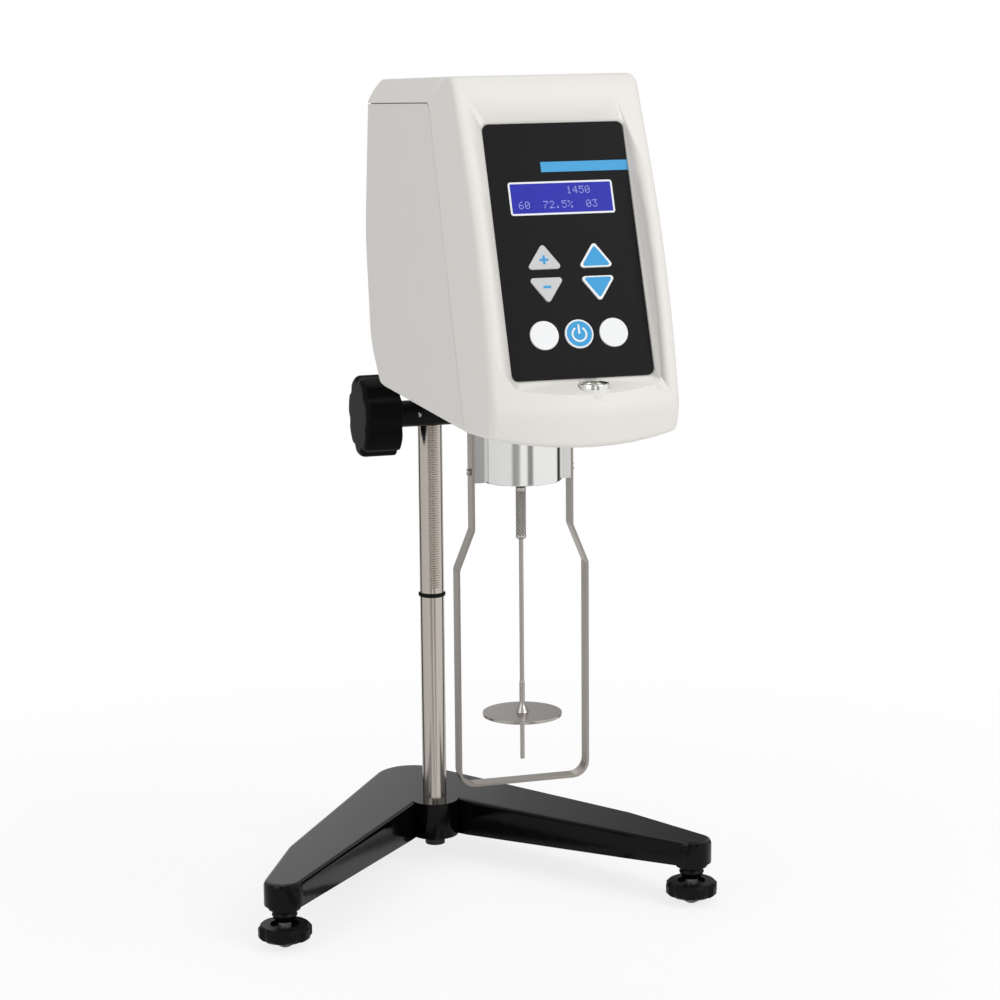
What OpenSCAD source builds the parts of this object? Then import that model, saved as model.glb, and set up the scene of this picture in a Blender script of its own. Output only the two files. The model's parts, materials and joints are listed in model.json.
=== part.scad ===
// Rotational viscometer: measuring head on a rack-and-pinion laboratory stand.
// Millimetres, +Z up, the keypad faces -Y. The origin is on the table, under the
// middle of the whole object.

/* [Layout] */
// Distance from the head's rear wall back to the axis of the upright rod
rod_gap = 47.3; // [44:0.1:60]
// Height of the head's bottom edge above the table
head_z = 334; // [315:1:345]
// Distance from the spindle axis forward to the tip of the chin
chin_reach = 136; // [130:1:140]

/* [Base casting] */
// Half the spread of the two front feet
foot_spread = 132; // [115:1:150]
// Distance of the front feet in front of the rod axis
foot_reach = 133.6; // [115:1:150]
// Height of the casting's flat top at the rod
base_top = 42.5; // [38:0.5:50]
// Depth of the casting's wall at the rod
base_depth = 24; // [21:0.5:27]
// Depth of the casting's wall at the front tips
tip_depth = 15.6; // [14:0.1:17]
// Wall thickness of the casting
base_wall = 5; // [4:0.5:7]
// Radius of the rounded tips round the front feet
tip_r = 12.5; // [11:0.5:15]
// Distance of the casting's rear edge behind the rod axis
base_rear = 84; // [70:1:100]
// Radius of the boss that holds the rod
rod_boss_r = 15.5; // [13:0.5:20]
// Fillet along the casting's top edge
base_fillet = 3; // [1.5:0.5:4]

/* [Feet] */
// Diameter of a levelling wheel
wheel_d = 33; // [28:0.5:38]
// Height of a levelling wheel's rim
wheel_h = 8.7; // [6:0.1:10]
// Height of the cone under a levelling wheel
wheel_cone_h = 5.6; // [4:0.1:7]
// Number of lobes round a levelling wheel
wheel_lobes = 8; // [5:1:12]
// Diameter of the levelling stud
stud_d = 8; // [6:0.5:9]
// Widest diameter of a lock nut
nut_d = 16; // [13:0.5:18]
// Height of a lock nut
nut_h = 7.9; // [6:0.1:9]
// Diameter of the rear foot pad
pad_d = 20; // [16:1:26]

/* [Upright rod] */
// Diameter of the rod
rod_d = 15.875; // [14:0.125:18]
// Length of the rod
rod_l = 355.6; // [345:1:400]
// Pitch of the rack's teeth
rack_pitch = 1.6; // [1.4:0.1:1.8]
// Height above the table where the rack starts
rack_start = 187; // [186:1:200]
// Length of the plain end of the rod above its rack
rod_plain_l = 10; // [6:1:16]
// Thickness of the stop ring
ring_t = 3; // [2:0.25:4]
// Height of the stop ring's middle above the table
ring_z = 182; // [150:1:184]

/* [Carriage] */
// Teeth on the height pinion
pinion_teeth = 24; // [20:1:26]
// Width of the height pinion's teeth
pinion_w = 8; // [6:0.5:9]
// Height of the pinion axis above the clamp's lower face
pinion_up = 8.5; // [8:0.5:12]
// Depth of the clamp's lower face below the head's bottom edge
clamp_drop = 38; // [36:1:42]
// Height of the clamp body
clamp_h = 72; // [70:1:76]
// Width of the clamp body
clamp_w = 20; // [19:0.5:28]
// Diameter of the mounting handle
handle_d = 11.1; // [9:0.1:13]
// Height of the mounting handle's axis above the clamp's lower face
handle_up = 52; // [50:1:54]
// Diameter of a knob over its lobes
knob_d = 48.6; // [42:0.1:54]
// Thickness of a knob
knob_t = 20.3; // [16:0.1:24]
// Number of lobes round a knob
knob_lobes = 7; // [5:1:9]
// Distance of the height knob's outer face from the middle
knob_out = 50.5; // [49:0.5:60]

/* [Head shell] */
// Half width of the head
head_half = 54; // [50:1:60]
// Height of the brow above the panel's top edge
brow_h = 25.7; // [22:0.1:32]
// Height of the panel's bottom edge above the head's bottom edge
panel_foot_z = 35; // [33:0.5:38]
// Width of the sloping faces between the sides and the roof
hip_w = 8; // [5:0.5:11]
// Height of the same sloping faces
hip_h = 14; // [9:0.5:18]
// Drop of the roof from front to back
roof_fall = 9; // [0:1:14]
// Distance from the spindle axis back to the rearmost part of the head
head_rear = 152; // [145:1:158]
// How far the middle of the chin bows forward of its sides
chin_bow = 14; // [10:0.5:17]
// How far the chin's lower edge sags between its corners
chin_dip = 5; // [2:0.5:7]
// How far the chin's corners stand above the head's bottom edge
chin_lift = 4; // [2:0.5:6]
// Fall of the shelf under the panel towards the front, in degrees
shelf_tilt = 22; // [18:1:28]
// Wall thickness of the covers
wall = 3; // [2.2:0.1:4]
// Tilt of the seam between the covers, from upright
seam_tilt = 20.6; // [12:0.2:26]
// Width of the groove at the seam
seam_gap = 0.6; // [0.3:0.1:1.2]
// Fillet round the head's edges
head_fillet = 4; // [3:0.5:6]

/* [Keypad panel] */
// Width of the panel
panel_w = 80.3; // [74:0.1:84]
// Length of the panel down its slope
panel_l = 144; // [140:0.5:148]
// Tilt of the panel, from upright
panel_tilt = 22.2; // [18:0.2:24]
// Thickness of the panel
panel_t = 1.2; // [0.8:0.1:2]
// Width of the display window
window_w = 59.7; // [54:0.1:64]
// Height of the display window
window_h = 19; // [16:0.5:22]
// Diameter of the three round keys
round_key_d = 16; // [13:0.5:18]
// Width of the four arrow keys
arrow_w = 18.7; // [15:0.1:20]
// Height of the four arrow keys
arrow_h = 13.6; // [11:0.1:14]
// Travel of a key
key_travel = 0.5; // [0.3:0.1:0.8]
// How far a key stands out of the panel
key_proud = 0.9; // [0.7:0.1:1.2]
// Clearance round a key
key_gap = 0.35; // [0.25:0.05:0.6]

/* [Measuring parts] */
// Diameter of the pivot cup
cup_d = 48; // [44:1:52]
// Drop of the pivot cup's lower face below the head's bottom edge
cup_drop = 41; // [38:1:46]
// Width of the guard leg's strip
strip_w = 9.5; // [8:0.25:12]
// Thickness of the guard leg's strip
strip_t = 1.6; // [1.2:0.1:2]
// Distance between the guard leg's lower arms, centre to centre
guard_low = 78.6; // [74:0.2:84]
// Distance between the guard leg's upper arms, centre to centre
guard_high = 59.9; // [57.4:0.1:61]
// Height of the guard leg's upper bend above the table
bend_high = 265; // [258:1:270]
// Height of the guard leg's lower bend above the table
bend_low = 242; // [230:1:250]
// Height of the guard leg's bottom strip above the table
guard_foot = 112; // [108.5:0.5:118]
// Diameter of the spindle's disk
disk_d = 46.93; // [40:0.01:56]
// Thickness of the spindle's disk
disk_t = 1.65; // [1.2:0.05:2.5]
// Height of the disk's top above the table
disk_z = 153.2; // [145:0.2:165]
// Diameter of the spindle's shaft
shaft_d = 3.2; // [2.8:0.1:4]
// Length of the spindle's tip below the disk
tip_l = 27; // [20:1:34]
// Diameter of the coupling nut
coupling_d = 6; // [5.4:0.1:7.5]
// Length of the coupling nut
coupling_l = 31; // [24:1:33]
// Height of the coupling nut's lower end above the table
coupling_z = 257.9; // [255:0.1:260]

/* [Drive] */
// Diameter of the pivot shaft
pivot_d = 4; // [3:0.25:5]
// Module of the drive's gear teeth
gear_m = 0.8; // [0.6:0.1:1]
// Teeth on the motor's pinion
small_teeth = 16; // [14:1:20]
// Teeth on the drive gear
big_teeth = 64; // [56:1:72]
// Running clearance of a shaft in its bore, on the radius
run = 0.05; // [0.02:0.01:0.09]

/* [Hidden] */
$fn = 64;
eps = 0.01;
// Facets round the blended ends of the casting
blend_fn = 32;

// Head outline
bow_side = chin_reach - chin_bow;
face_bulge = 17;
rear_wall_bow = 2;
keel = 2;
seam_y = -71.5;
seam_lip = 4;
seam_corner_r = 5;
// Where the sloping face begins to run out towards the brow
hip_y = 0;

// Panel and brow, from the spindle axis and the head's bottom edge
panel_foot_y = -117.9;
panel_top_y = panel_foot_y + panel_l * sin(panel_tilt);
head_h = panel_foot_z + panel_l * cos(panel_tilt) + brow_h;
panel_top_z = head_z + head_h - brow_h;
brow_y = panel_top_y + 13.5;
roof_back = head_rear - 16;
reach = head_rear + rod_gap;
// Upper corner of the seam, where the slanted part meets the lower edge of the sloping face
seam_drop = roof_fall / (roof_back - brow_y);
seam_top_z = (head_h - hip_h - seam_drop * (seam_y - brow_y)) / (1 + seam_drop * tan(seam_tilt));
seam_top = [seam_y + seam_top_z * tan(seam_tilt), seam_top_z];

// Whole object, front to back, from the rounded tip of the chin to the casting's rear
chin_tip = -min([for (p = ring_points(0, 0)) p[1]]);
spindle_y = (chin_tip - reach - base_rear) / 2;
rod_y = spindle_y + reach;

// Base casting, in plan, from the rod axis: [x, y, radius] down one arm
rear_r = 25;
shoulder = [36, 6, 24];
elbow_r = 18.4;
arm = [
    [0, base_rear - rear_r, rear_r],
    shoulder,
    [foot_spread * 0.75, -foot_reach * 0.59, elbow_r],
    [foot_spread, -foot_reach, tip_r]
];
casting_low = base_top - base_depth;
tip_low = base_top - tip_depth;
rear_foot_y = base_rear - rear_r;
// Rear foot pad, pressed into the casting's rear boss by its peg
pad_t = 3;
pad_edge = 1;
pad_peg_d = pad_d - 6;
pad_peg_l = 2;
pad_boss_r = pad_d / 2 + 1;
pad_boss_draft = 3;

// Feet
wheel_edge = 1.5;
wheel_round = 2;
wheel_tip_r = 3;
wheel_cone_r = wheel_d * 0.36;
wheel_dish_r = wheel_d * 0.27;
// Hollows between a wheel's lobes: their diameter and the distance of their centres
wheel_hollow_d = wheel_d * 0.3;
wheel_hollow_at = wheel_d * 0.585;
wheel_low = wheel_cone_h;
wheel_top = wheel_low + wheel_h;
boss_ring_h = 2.7;
boss_ring_r = tip_r - 2.5;
nut_top = tip_low - boss_ring_h;
nut_low = nut_top - nut_h;
stud_up = base_top - 4;
stud_edge = 1;

// Rod and its fixing
rod_floor = 6;
rod_low = casting_low + rod_floor;
rod_top = rod_low + rod_l;
rod_screw_d = 8;
rod_thread_l = 12;
rod_head_d = 13;
rod_head_h = 5;
rod_head_slot = 1.6;
rod_edge = 1;
washer_d = 18;
washer_t = 1.6;

// Rack and pinion: module, pitch radius and the pinion's place
rack_m = rack_pitch / PI;
pinion_r = pinion_teeth * rack_pitch / (2 * PI);
mesh_gap = 0.12;
// Pressure angle of every tooth, and the depth of a tooth's root in modules
tooth_angle = 20;
tooth_root = 1.25;
pinion_y = rod_y - (rod_d / 2 - rack_m) - pinion_r - mesh_gap;
clamp_z = head_z - clamp_drop;
pinion_z = clamp_z + pinion_up;
pinion_shaft_d = 6;
backlash = 0.16;
pinion_room = 0.5;
// Turn of the pinion that brings a tooth into a gap of the rack
rack_phase = (pinion_z - rack_start) / rack_pitch - 0.5;
pinion_turn = (rack_phase - floor(rack_phase)) * 360 / pinion_teeth;

// Clamp
handle_z = clamp_z + handle_up;
nose_gap = 0.3;
clamp_nose = rod_y - rod_gap + nose_gap;
nose_low = handle_z - 13;
nose_slit = 2;
clamp_screw_y = clamp_nose + 8;
clamp_screw_z = handle_z + handle_d / 2 + 6.5;
clamp_screw_d = 6;
// Wall left at the blind end of the clamp screw
screw_wall = 5;
neck_r = pinion_up;
tension_z = clamp_z + 30;
insert_d = 8;
insert_l = 3;
tension_boss_d = insert_d + 8;
tension_boss_l = clamp_w / 2 + 4;
tension_screw_l = clamp_w / 2 + 3 - rod_d / 2 - insert_l;
tension_slot_w = 1.2;
tension_slot_h = 2;
collar_gap = 0.4;
neck_l = 14;
shaft_screw_x = -clamp_w / 2 - 2.6;
shaft_screw_d = 2.4;
shaft_screw_l = neck_r - pinion_shaft_d / 2;
// Collar that keeps the pinion shaft in place
stay_d = pinion_shaft_d + 4;
stay_t = 1.5;
shaft_end = 2.5;
clamp_front = pinion_y - neck_r;
collar_t = 4;
clamp_knob_d = 26;
clamp_knob_t = 14;
clamp_knob_gap = 3;
knob_edge = 1.5;
// Depth of a knob left solid behind its face, and of the hollow in its back
knob_solid = 4;
knob_hollow = 3;
knob_hollow_d = 0.46;
// Hollows between a knob's lobes, as parts of its diameter
knob_cut_d = 0.22;
knob_cut_at = 0.56;
// Front and rear edges of the bottom plate, from the spindle axis
plate_front = -56;
plate_back = 100;
// The mounting handle, from the block inside the head to the blind bore in the clamp
handle_y = spindle_y + plate_back;
handle_depth = rod_gap - 17.3;
handle_l = clamp_nose + handle_depth - handle_y;
handle_block_w = 24;
handle_block_l = 18;
handle_block_wall = 6;
handle_block_top = handle_z + 12;
handle_collar_d = handle_d + 8;

// Bottom plate
plate_r = 8;
plate_t = 6;
plate_low = head_z + wall;
plate_top = plate_low + plate_t;
plate_half = head_half - wall - head_fillet;
rim_w = 9;
// Distance of the cover screws inside the plate's front and rear edges, and its sides
screw_inset_y = 8;
screw_inset_x = 4;
screw_d = 2.5;
screw_bore = screw_d + 0.7;
cover_head_d = 5.6;
cover_bore = cover_head_d + 0.8;
cover_head_h = 1.6;
slot_w = 0.8;

// Panel and its recess
panel_r = 3.5;
recess_gap = 0.5;
recess_draft = 7;
recess_reach = 26;
floor_back = panel_t + wall;
board_y = 15;
board_t = 1.6;
board_r = 3;
board_w = panel_w - 8.3;
board_l = panel_l - 26;
board_drop = 18;
board_post_d = 5;
board_post_in = 4;
glass_gap = 0.1;
window_r = 1.6;
// Rim of the display's glass, and how far its board reaches past the window
glass_rim = 1.7;
display_more_w = 6;
display_more_h = 8;
display_back = board_y - 3;
window_floor_rim = 1.5;
window_drop = panel_l * 0.2306;
speed_x = -panel_w * 0.184;
spindle_x = panel_w * 0.181;
up_drop = panel_l * 0.528;
down_drop = panel_l * 0.656;
round_drop = panel_l * 0.831;
round_pitch = panel_w * 0.245;
arrow_r = 1.6;
stem_d = 5;
stem_gap = 0.2;
flange_t = 0.8;
flange_w = 1.2;
flange_gap = 0.06;

// Bubble level
level_x = 3.4;
level_y = panel_foot_y - 6.6;
level_top = head_z + panel_foot_z - 2.8;
level_d = 17.3;
level_h = 9;
level_rim = 4.6;
level_rim_w = 2.2;
level_rim_up = 1;

// Pivot cup, brackets and guard leg
cup_low = head_z - cup_drop;
cup_wall = 3;
cup_floor = 4;
cup_hole_r = 5.5;
cup_edge = 0.8;
bracket_x = (guard_high - strip_t) / 2;
// How far a bracket's block reaches into the cup's outline
bracket_in = 4;
screw_z = cup_low + 6;
screw_l = 4;
screw_core_d = 2.2;
screw_head_d = 4;
screw_head_h = 1.6;
strip_bore_d = 2.8;
guard_bend_r = 9;
upper_bend_r = 5;
guard_top = head_z - 1;

// Spindle and coupling
thin_d = shaft_d - 0.6;
tip_low_z = disk_z - disk_t - tip_l;
coupling_top = coupling_z + coupling_l;
thick_l = 18;
collar_l = 6;
collar_d = 8;
thread_l = 12;
point_edge = 0.4;
coupling_edge = 0.6;
grip_count = 12;
grip_r = 0.6;
grip_out = 0.25;
grip_end = 2;

// Drive, from the bottom plate up
transducer_d = 42;
transducer_h = 22;
spring_up = 18;
spring_z = plate_top + transducer_h + spring_up;
spring_h = 3;
spring_t = 0.4;
spring_in = 4;
spring_turns = 3;
spring_steps = 72;
gear_up = 8;
gear_z = spring_z + gear_up;
gear_h = 6;
gear_room = 8;
cup_skirt_r = 17;
motor_plate_z = gear_z + gear_h + gear_room;
motor_plate_t = 4;
motor_w = 42;
motor_plate_w = 84;
motor_plate_l = 116;
motor_h = 38;
gear_gap = gear_m * (small_teeth + big_teeth) / 2;
motor_shaft_d = 5;
motor_boss_d = 22;
motor_boss_h = 2;
motor_r = 4;
motor_end = 6;
hub_d = 10;
hub_top = motor_plate_z + motor_plate_t + 4;
skirt_t = 2;
skirt_low = spring_z - 2;
bearing_d = 19;
pillar_d = 8;
pillar_inset = [6, 26];
pillar_spots = [for (x = [-1, 1], y = [plate_front + pillar_inset[1], plate_back - pillar_inset[1]])
    [(motor_plate_w / 2 - pillar_inset[0]) * x, y]];

// Power inlet
inlet_x = 24;
inlet_z = head_z + 58;
inlet_w = 27.4;
inlet_h = 20;
inlet_flange_w = 33;
inlet_flange_h = 25;
inlet_y = 138;
inlet_depth = 17;
inlet_flange_t = 3;
inlet_floor = 2;
inlet_wall = 2;

module at_spindle() { translate([0, spindle_y, 0]) children(); }
module at_rod() { translate([0, rod_y, 0]) children(); }
module both_sides() {
    children();
    mirror([1, 0, 0]) children();
}
// Turns the local Z axis to point along X
module along_x() { rotate([0, 90, 0]) children(); }
module along_y() { rotate([-90, 0, 0]) children(); }

// Panel frame: X right, Z up the slope, +Y into the head, zero at the panel's top edge
module on_panel() {
    translate([0, spindle_y + panel_top_y, panel_top_z]) rotate([-panel_tilt, 0, 0]) children();
}
// A flat outline drawn with X right and Y up the slope, from y0 to y1 behind the panel's face
module panel_slab(y0, y1) {
    on_panel() translate([0, y1, 0]) rotate([90, 0, 0]) linear_extrude(y1 - y0) children();
}

// ---- Outlines with rounded corners: each corner is [x, y, radius] ----

function unit(v) = v / norm(v);
function left_of(v) = [-v[1], v[0]];
function xy(c) = [c[0], c[1]];
// One corner as an arc of n + 1 points, between its neighbours p and q
function corner_arc(p, c, q, n) =
    let (
        u = unit(xy(p) - xy(c)),
        w = unit(xy(q) - xy(c)),
        half_angle = acos(u * w) / 2,
        setback = c[2] / tan(half_angle),
        middle = xy(c) + unit(u + w) * c[2] / sin(half_angle),
        start = xy(c) + u * setback - middle,
        finish = xy(c) + w * setback - middle,
        sweep = 180 - 2 * half_angle
    )
    [for (i = [0:n])
        let (a = sweep * i / n)
        middle + (start * sin(sweep - a) + finish * sin(a)) / sin(sweep)];
function rounded(c, n = 4) =
    let (m = len(c))
    [for (i = [0:m - 1]) each corner_arc(c[(i + m - 1) % m], c[i], c[(i + 1) % m], n)];
// Anticlockwise corners moved inwards by t, with their radii reduced
function inset_corners(c, t) =
    let (m = len(c))
    [for (i = [0:m - 1])
        let (
            a = left_of(unit(xy(c[i]) - xy(c[(i + m - 1) % m]))),
            b = left_of(unit(xy(c[(i + 1) % m]) - xy(c[i]))),
            p = xy(c[i]) + (a + b) * t / (1 + a * b)
        )
        [p[0], p[1], max(c[i][2] - t, 0.8)]];

function box_corners(w, h, r) =
    [[w / 2, h / 2, r], [-w / 2, h / 2, r], [-w / 2, -h / 2, r], [w / 2, -h / 2, r]];
module rounded_box(w, h, r, n = 4) { polygon(rounded(box_corners(w, h, r), n)); }

// ---- Head shell: rings of one outline, lofted from side to side ----

// Corners of the head's side view at x: [y, z, radius], anticlockwise seen from the right
function head_corners(x) =
    let (
        u = x / head_half,
        middle = 1 - u * u,
        bow = chin_bow * middle,
        dip = chin_dip * middle,
        back = rear_wall_bow * middle
    )
    [
        [-bow_side + 4 - bow, chin_lift - dip, 4],
        [seam_y, -keel * middle, 40],
        [head_rear - 34 + back, 0, 12],
        [head_rear - 11.5 + back, 24, 34],
        [head_rear - 2 + back, 92, 110],
        [roof_back + back, head_h - roof_fall, 12],
        [brow_y, head_h, 11],
        [(brow_y - bow_side) / 2 - face_bulge - bow * 0.55, head_h * 0.495, 420],
        [-bow_side - bow, 19, 14]
    ];
function ring_points(x, t) =
    [for (p = rounded(inset_corners(head_corners(x), t), 4)) [x, p[0], p[1] + head_z]];

// Positions and insets of the rings, with a fillet along both sides
function ring_stops(t) =
    let (edge = head_half - t)
    concat(
        [for (a = [90:-30:0]) [-edge + head_fillet * (1 - sin(a)), t + head_fillet * (1 - cos(a))]],
        [for (k = [-3:3]) [k * (edge - head_fillet) / 4, t]],
        [for (a = [0:30:90]) [edge - head_fillet * (1 - sin(a)), t + head_fillet * (1 - cos(a))]]
    );

module head_loft(t) {
    stops = ring_stops(t);
    rings = [for (s = stops) ring_points(s[0], s[1])];
    n = len(rings[0]);
    last = len(rings) - 1;
    points = [for (r = rings) each r];
    walls = [for (i = [0:last - 1], j = [0:n - 1])
        [i * n + j, i * n + (j + 1) % n, (i + 1) * n + (j + 1) % n, (i + 1) * n + j]];
    split = [for (w = walls) each [[w[0], w[2], w[1]], [w[0], w[3], w[2]]]];
    caps = [[for (j = [0:n - 1]) j], [for (j = [n - 1:-1:0]) last * n + j]];
    translate([0, spindle_y, 0]) polyhedron(points, concat(split, caps));
}

// Height of the roof at y, from the head's bottom edge
function roof_at(y) = head_h - roof_fall * (y - brow_y) / (roof_back - brow_y);

// What the sloping face takes off one upper edge: triangles at three places along y, set in by t
module hip_cut(t) {
    slope = hip_h / hip_w;
    low = -2 * slope - t * norm([hip_w, hip_h]) / hip_w;
    high = low + (hip_w + 6) * slope;
    rise = (roof_at(brow_y) - roof_at(hip_y) + hip_h) / (hip_y - brow_y);
    creases = [
        [head_rear + 20, roof_at(head_rear + 20) - hip_h],
        [hip_y, roof_at(hip_y) - hip_h],
        [brow_y - 40, roof_at(hip_y) - hip_h + rise * (hip_y - brow_y + 40)]
    ];
    points = [for (c = creases) each [
        [head_half + 2, c[0], c[1] + low],
        [head_half - hip_w - 4, c[0], c[1] + high],
        [head_half + 2, c[0], c[1] + high]
    ]];
    walls = [for (i = [0, 1], j = [0:2])
        [3 * i + j, 3 * i + (j + 1) % 3, 3 * i + 3 + (j + 1) % 3, 3 * i + 3 + j]];
    translate([0, spindle_y, head_z]) polyhedron(points, concat(walls, [[2, 1, 0], [6, 7, 8]]));
}

// The head's solid form, set in by t
module head_form(t = 0) difference() {
    head_loft(t);
    both_sides() hip_cut(t);
}

// The rear cover's region: behind the slanted seam and below the sloping faces, set in by d
module behind_seam(d = 0) {
    far = head_rear + 60;
    outline = [
        [seam_y - 20 * tan(seam_tilt), -20, 1],
        [far, -20, 1],
        [far, roof_at(far) - hip_h, 1],
        [seam_top[0], seam_top[1], seam_corner_r]
    ];
    translate([-head_half - 20, spindle_y, head_z]) rotate([90, 0, 90]) linear_extrude(2 * head_half + 40)
        polygon(rounded(inset_corners(outline, d), 4));
}

// ---- Stand ----

// One rounded disk of the casting, from its own lower face to z1
module blend_disk(c, z0, z1, r_cut, fillet) {
    translate([c[0], c[1], z0]) {
        cylinder(h = z1 - z0 - fillet, r = c[2] - r_cut, $fn = blend_fn);
        cylinder(h = z1 - z0 - fillet * 0.3, r = c[2] - r_cut - fillet * 0.3, $fn = blend_fn);
        cylinder(h = z1 - z0, r = c[2] - r_cut - fillet, $fn = blend_fn);
    }
}
function arm_low(i) =
    i == len(arm) - 1 ? tip_low
    : i == len(arm) - 2 ? (tip_low + casting_low) / 2
    : casting_low;

module base_casting() color("#15161a") at_rod() {
    difference() {
        union() {
            difference() {
                both_sides() hull() for (i = [0:len(arm) - 1])
                    blend_disk(arm[i], arm_low(i), base_top, 0, base_fillet);
                both_sides() hull() for (i = [0:len(arm) - 2])
                    blend_disk(arm[i], -1, base_top - base_wall, base_wall, base_fillet);
            }
            translate([0, 0, casting_low]) cylinder(h = base_depth, r = rod_boss_r);
            translate([0, rear_foot_y, pad_t])
                cylinder(
                    h = base_top - base_wall - pad_t + eps, r1 = pad_boss_r, r2 = pad_boss_r + pad_boss_draft
                );
            both_sides() translate([foot_spread, -foot_reach, nut_top])
                cylinder(h = boss_ring_h + 1, r = boss_ring_r);
        }
        translate([0, 0, rod_low]) cylinder(h = base_top, d = rod_d);
        translate([0, 0, -1]) cylinder(h = rod_low + 2, d = rod_screw_d);
        both_sides() translate([foot_spread, -foot_reach, nut_top - 1])
            cylinder(h = stud_up + 1 - nut_top + 1, r = stud_d / 2 + run);
        translate([0, rear_foot_y, pad_t - 1]) cylinder(h = pad_peg_l + 1, d = pad_peg_d);
    }
}

module rear_foot_pad() color("#202020") at_rod() translate([0, rear_foot_y, 0]) {
    cylinder(h = pad_edge, r1 = pad_d / 2 - pad_edge, r2 = pad_d / 2);
    translate([0, 0, pad_edge]) cylinder(h = pad_t - pad_edge, d = pad_d);
    translate([0, 0, pad_t]) cylinder(h = pad_peg_l, d = pad_peg_d);
}

module rod_screw() color("#9a9a98") at_rod() difference() {
    union() {
        translate([0, 0, casting_low - washer_t - rod_head_h]) cylinder(h = rod_head_h, d = rod_head_d);
        translate([0, 0, casting_low - washer_t])
            cylinder(h = rod_floor + rod_thread_l + washer_t, d = rod_screw_d);
    }
    translate([-rod_head_d, -rod_head_slot / 2, casting_low - washer_t - rod_head_h - 1])
        cube([2 * rod_head_d, rod_head_slot, 3]);
}

module rod_washer() color("#b5b5b2") at_rod() translate([0, 0, casting_low - washer_t]) difference() {
    cylinder(h = washer_t, d = washer_d);
    translate([0, 0, -1]) cylinder(h = washer_t + 2, d = rod_screw_d);
}

// Cross-section of one gap of the rack: [depth, height] from the gap's middle
module rack_gap() {
    half_pitch = rack_pitch / 4 + backlash / 2;
    lean = tan(tooth_angle);
    top = half_pitch + rack_m * lean;
    bottom = half_pitch - tooth_root * rack_m * lean;
    polygon([
        [-rod_d / 2 - 1, -top - lean],
        [-rod_d / 2 + (1 + tooth_root) * rack_m, -bottom],
        [-rod_d / 2 + (1 + tooth_root) * rack_m, bottom],
        [-rod_d / 2 - 1, top + lean]
    ]);
}

module rack_rod() color("#c9c7c3") at_rod() difference() {
    union() {
        translate([0, 0, rod_low]) cylinder(h = rod_l - rod_edge, d = rod_d);
        translate([0, 0, rod_top - rod_edge])
            cylinder(h = rod_edge, r1 = rod_d / 2, r2 = rod_d / 2 - rod_edge);
    }
    for (z = [rack_start:rack_pitch:rod_top - rod_plain_l - 2 * rack_pitch])
        translate([-rod_d / 2, 0, z + rack_pitch / 2]) rotate([90, 0, 90])
            linear_extrude(rod_d) rack_gap();
    translate([0, 0, rod_low - 1]) cylinder(h = rod_thread_l + 1, d = rod_screw_d);
    ring_body();
}

// The stop ring sits in a shallow groove of the rod
module ring_body() {
    translate([0, 0, ring_z]) rotate_extrude()
        translate([rod_d / 2 + ring_t / 6, 0]) circle(d = ring_t, $fn = 24);
}
module stop_ring() color("#18181a") at_rod() ring_body();

module levelling_stud() {
    translate([0, 0, wheel_low + 1]) cylinder(h = stud_up - stud_edge - wheel_low - 1, d = stud_d);
    translate([0, 0, stud_up - stud_edge])
        cylinder(h = stud_edge, r1 = stud_d / 2, r2 = stud_d / 2 - stud_edge);
}

module levelling_wheel() difference() {
    union() {
        cylinder(h = wheel_cone_h, r1 = wheel_tip_r, r2 = wheel_cone_r);
        translate([0, 0, wheel_low]) cylinder(h = wheel_edge, r1 = wheel_d / 2 - wheel_edge, r2 = wheel_d / 2);
        translate([0, 0, wheel_low + wheel_edge]) cylinder(h = wheel_h - wheel_edge - wheel_round, d = wheel_d);
        translate([0, 0, wheel_top - wheel_round])
            cylinder(h = wheel_round, r1 = wheel_d / 2, r2 = wheel_d / 2 - wheel_round);
    }
    for (i = [0:wheel_lobes - 1]) rotate(360 / wheel_lobes * (i + 0.5))
        translate([wheel_hollow_at, 0, wheel_low - 1]) cylinder(h = wheel_h + 2, d = wheel_hollow_d);
    translate([0, 0, wheel_top - wheel_round]) cylinder(h = wheel_round + 1, r = wheel_dish_r);
    translate([0, 0, wheel_low + 1]) cylinder(h = wheel_h, d = stud_d);
}

module at_foot(side) { at_rod() translate([side * foot_spread, -foot_reach, 0]) children(); }
module levelling_stud_left() color("#b9b9b6") at_foot(-1) levelling_stud();
module levelling_stud_right() color("#b9b9b6") at_foot(1) levelling_stud();
module levelling_wheel_left() color("#1b1b1c") at_foot(-1) levelling_wheel();
module levelling_wheel_right() color("#1b1b1c") at_foot(1) levelling_wheel();

module lock_nuts() color("#1b1b1c") for (side = [-1, 1]) at_foot(side) translate([0, 0, nut_low])
    rotate_extrude() polygon([
        [stud_d / 2 + run, 0], [nut_d * 0.36, 0], [nut_d / 2, nut_h * 0.54],
        [nut_d * 0.38, nut_h], [stud_d / 2 + run, nut_h]
    ]);

// ---- Carriage ----

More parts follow.
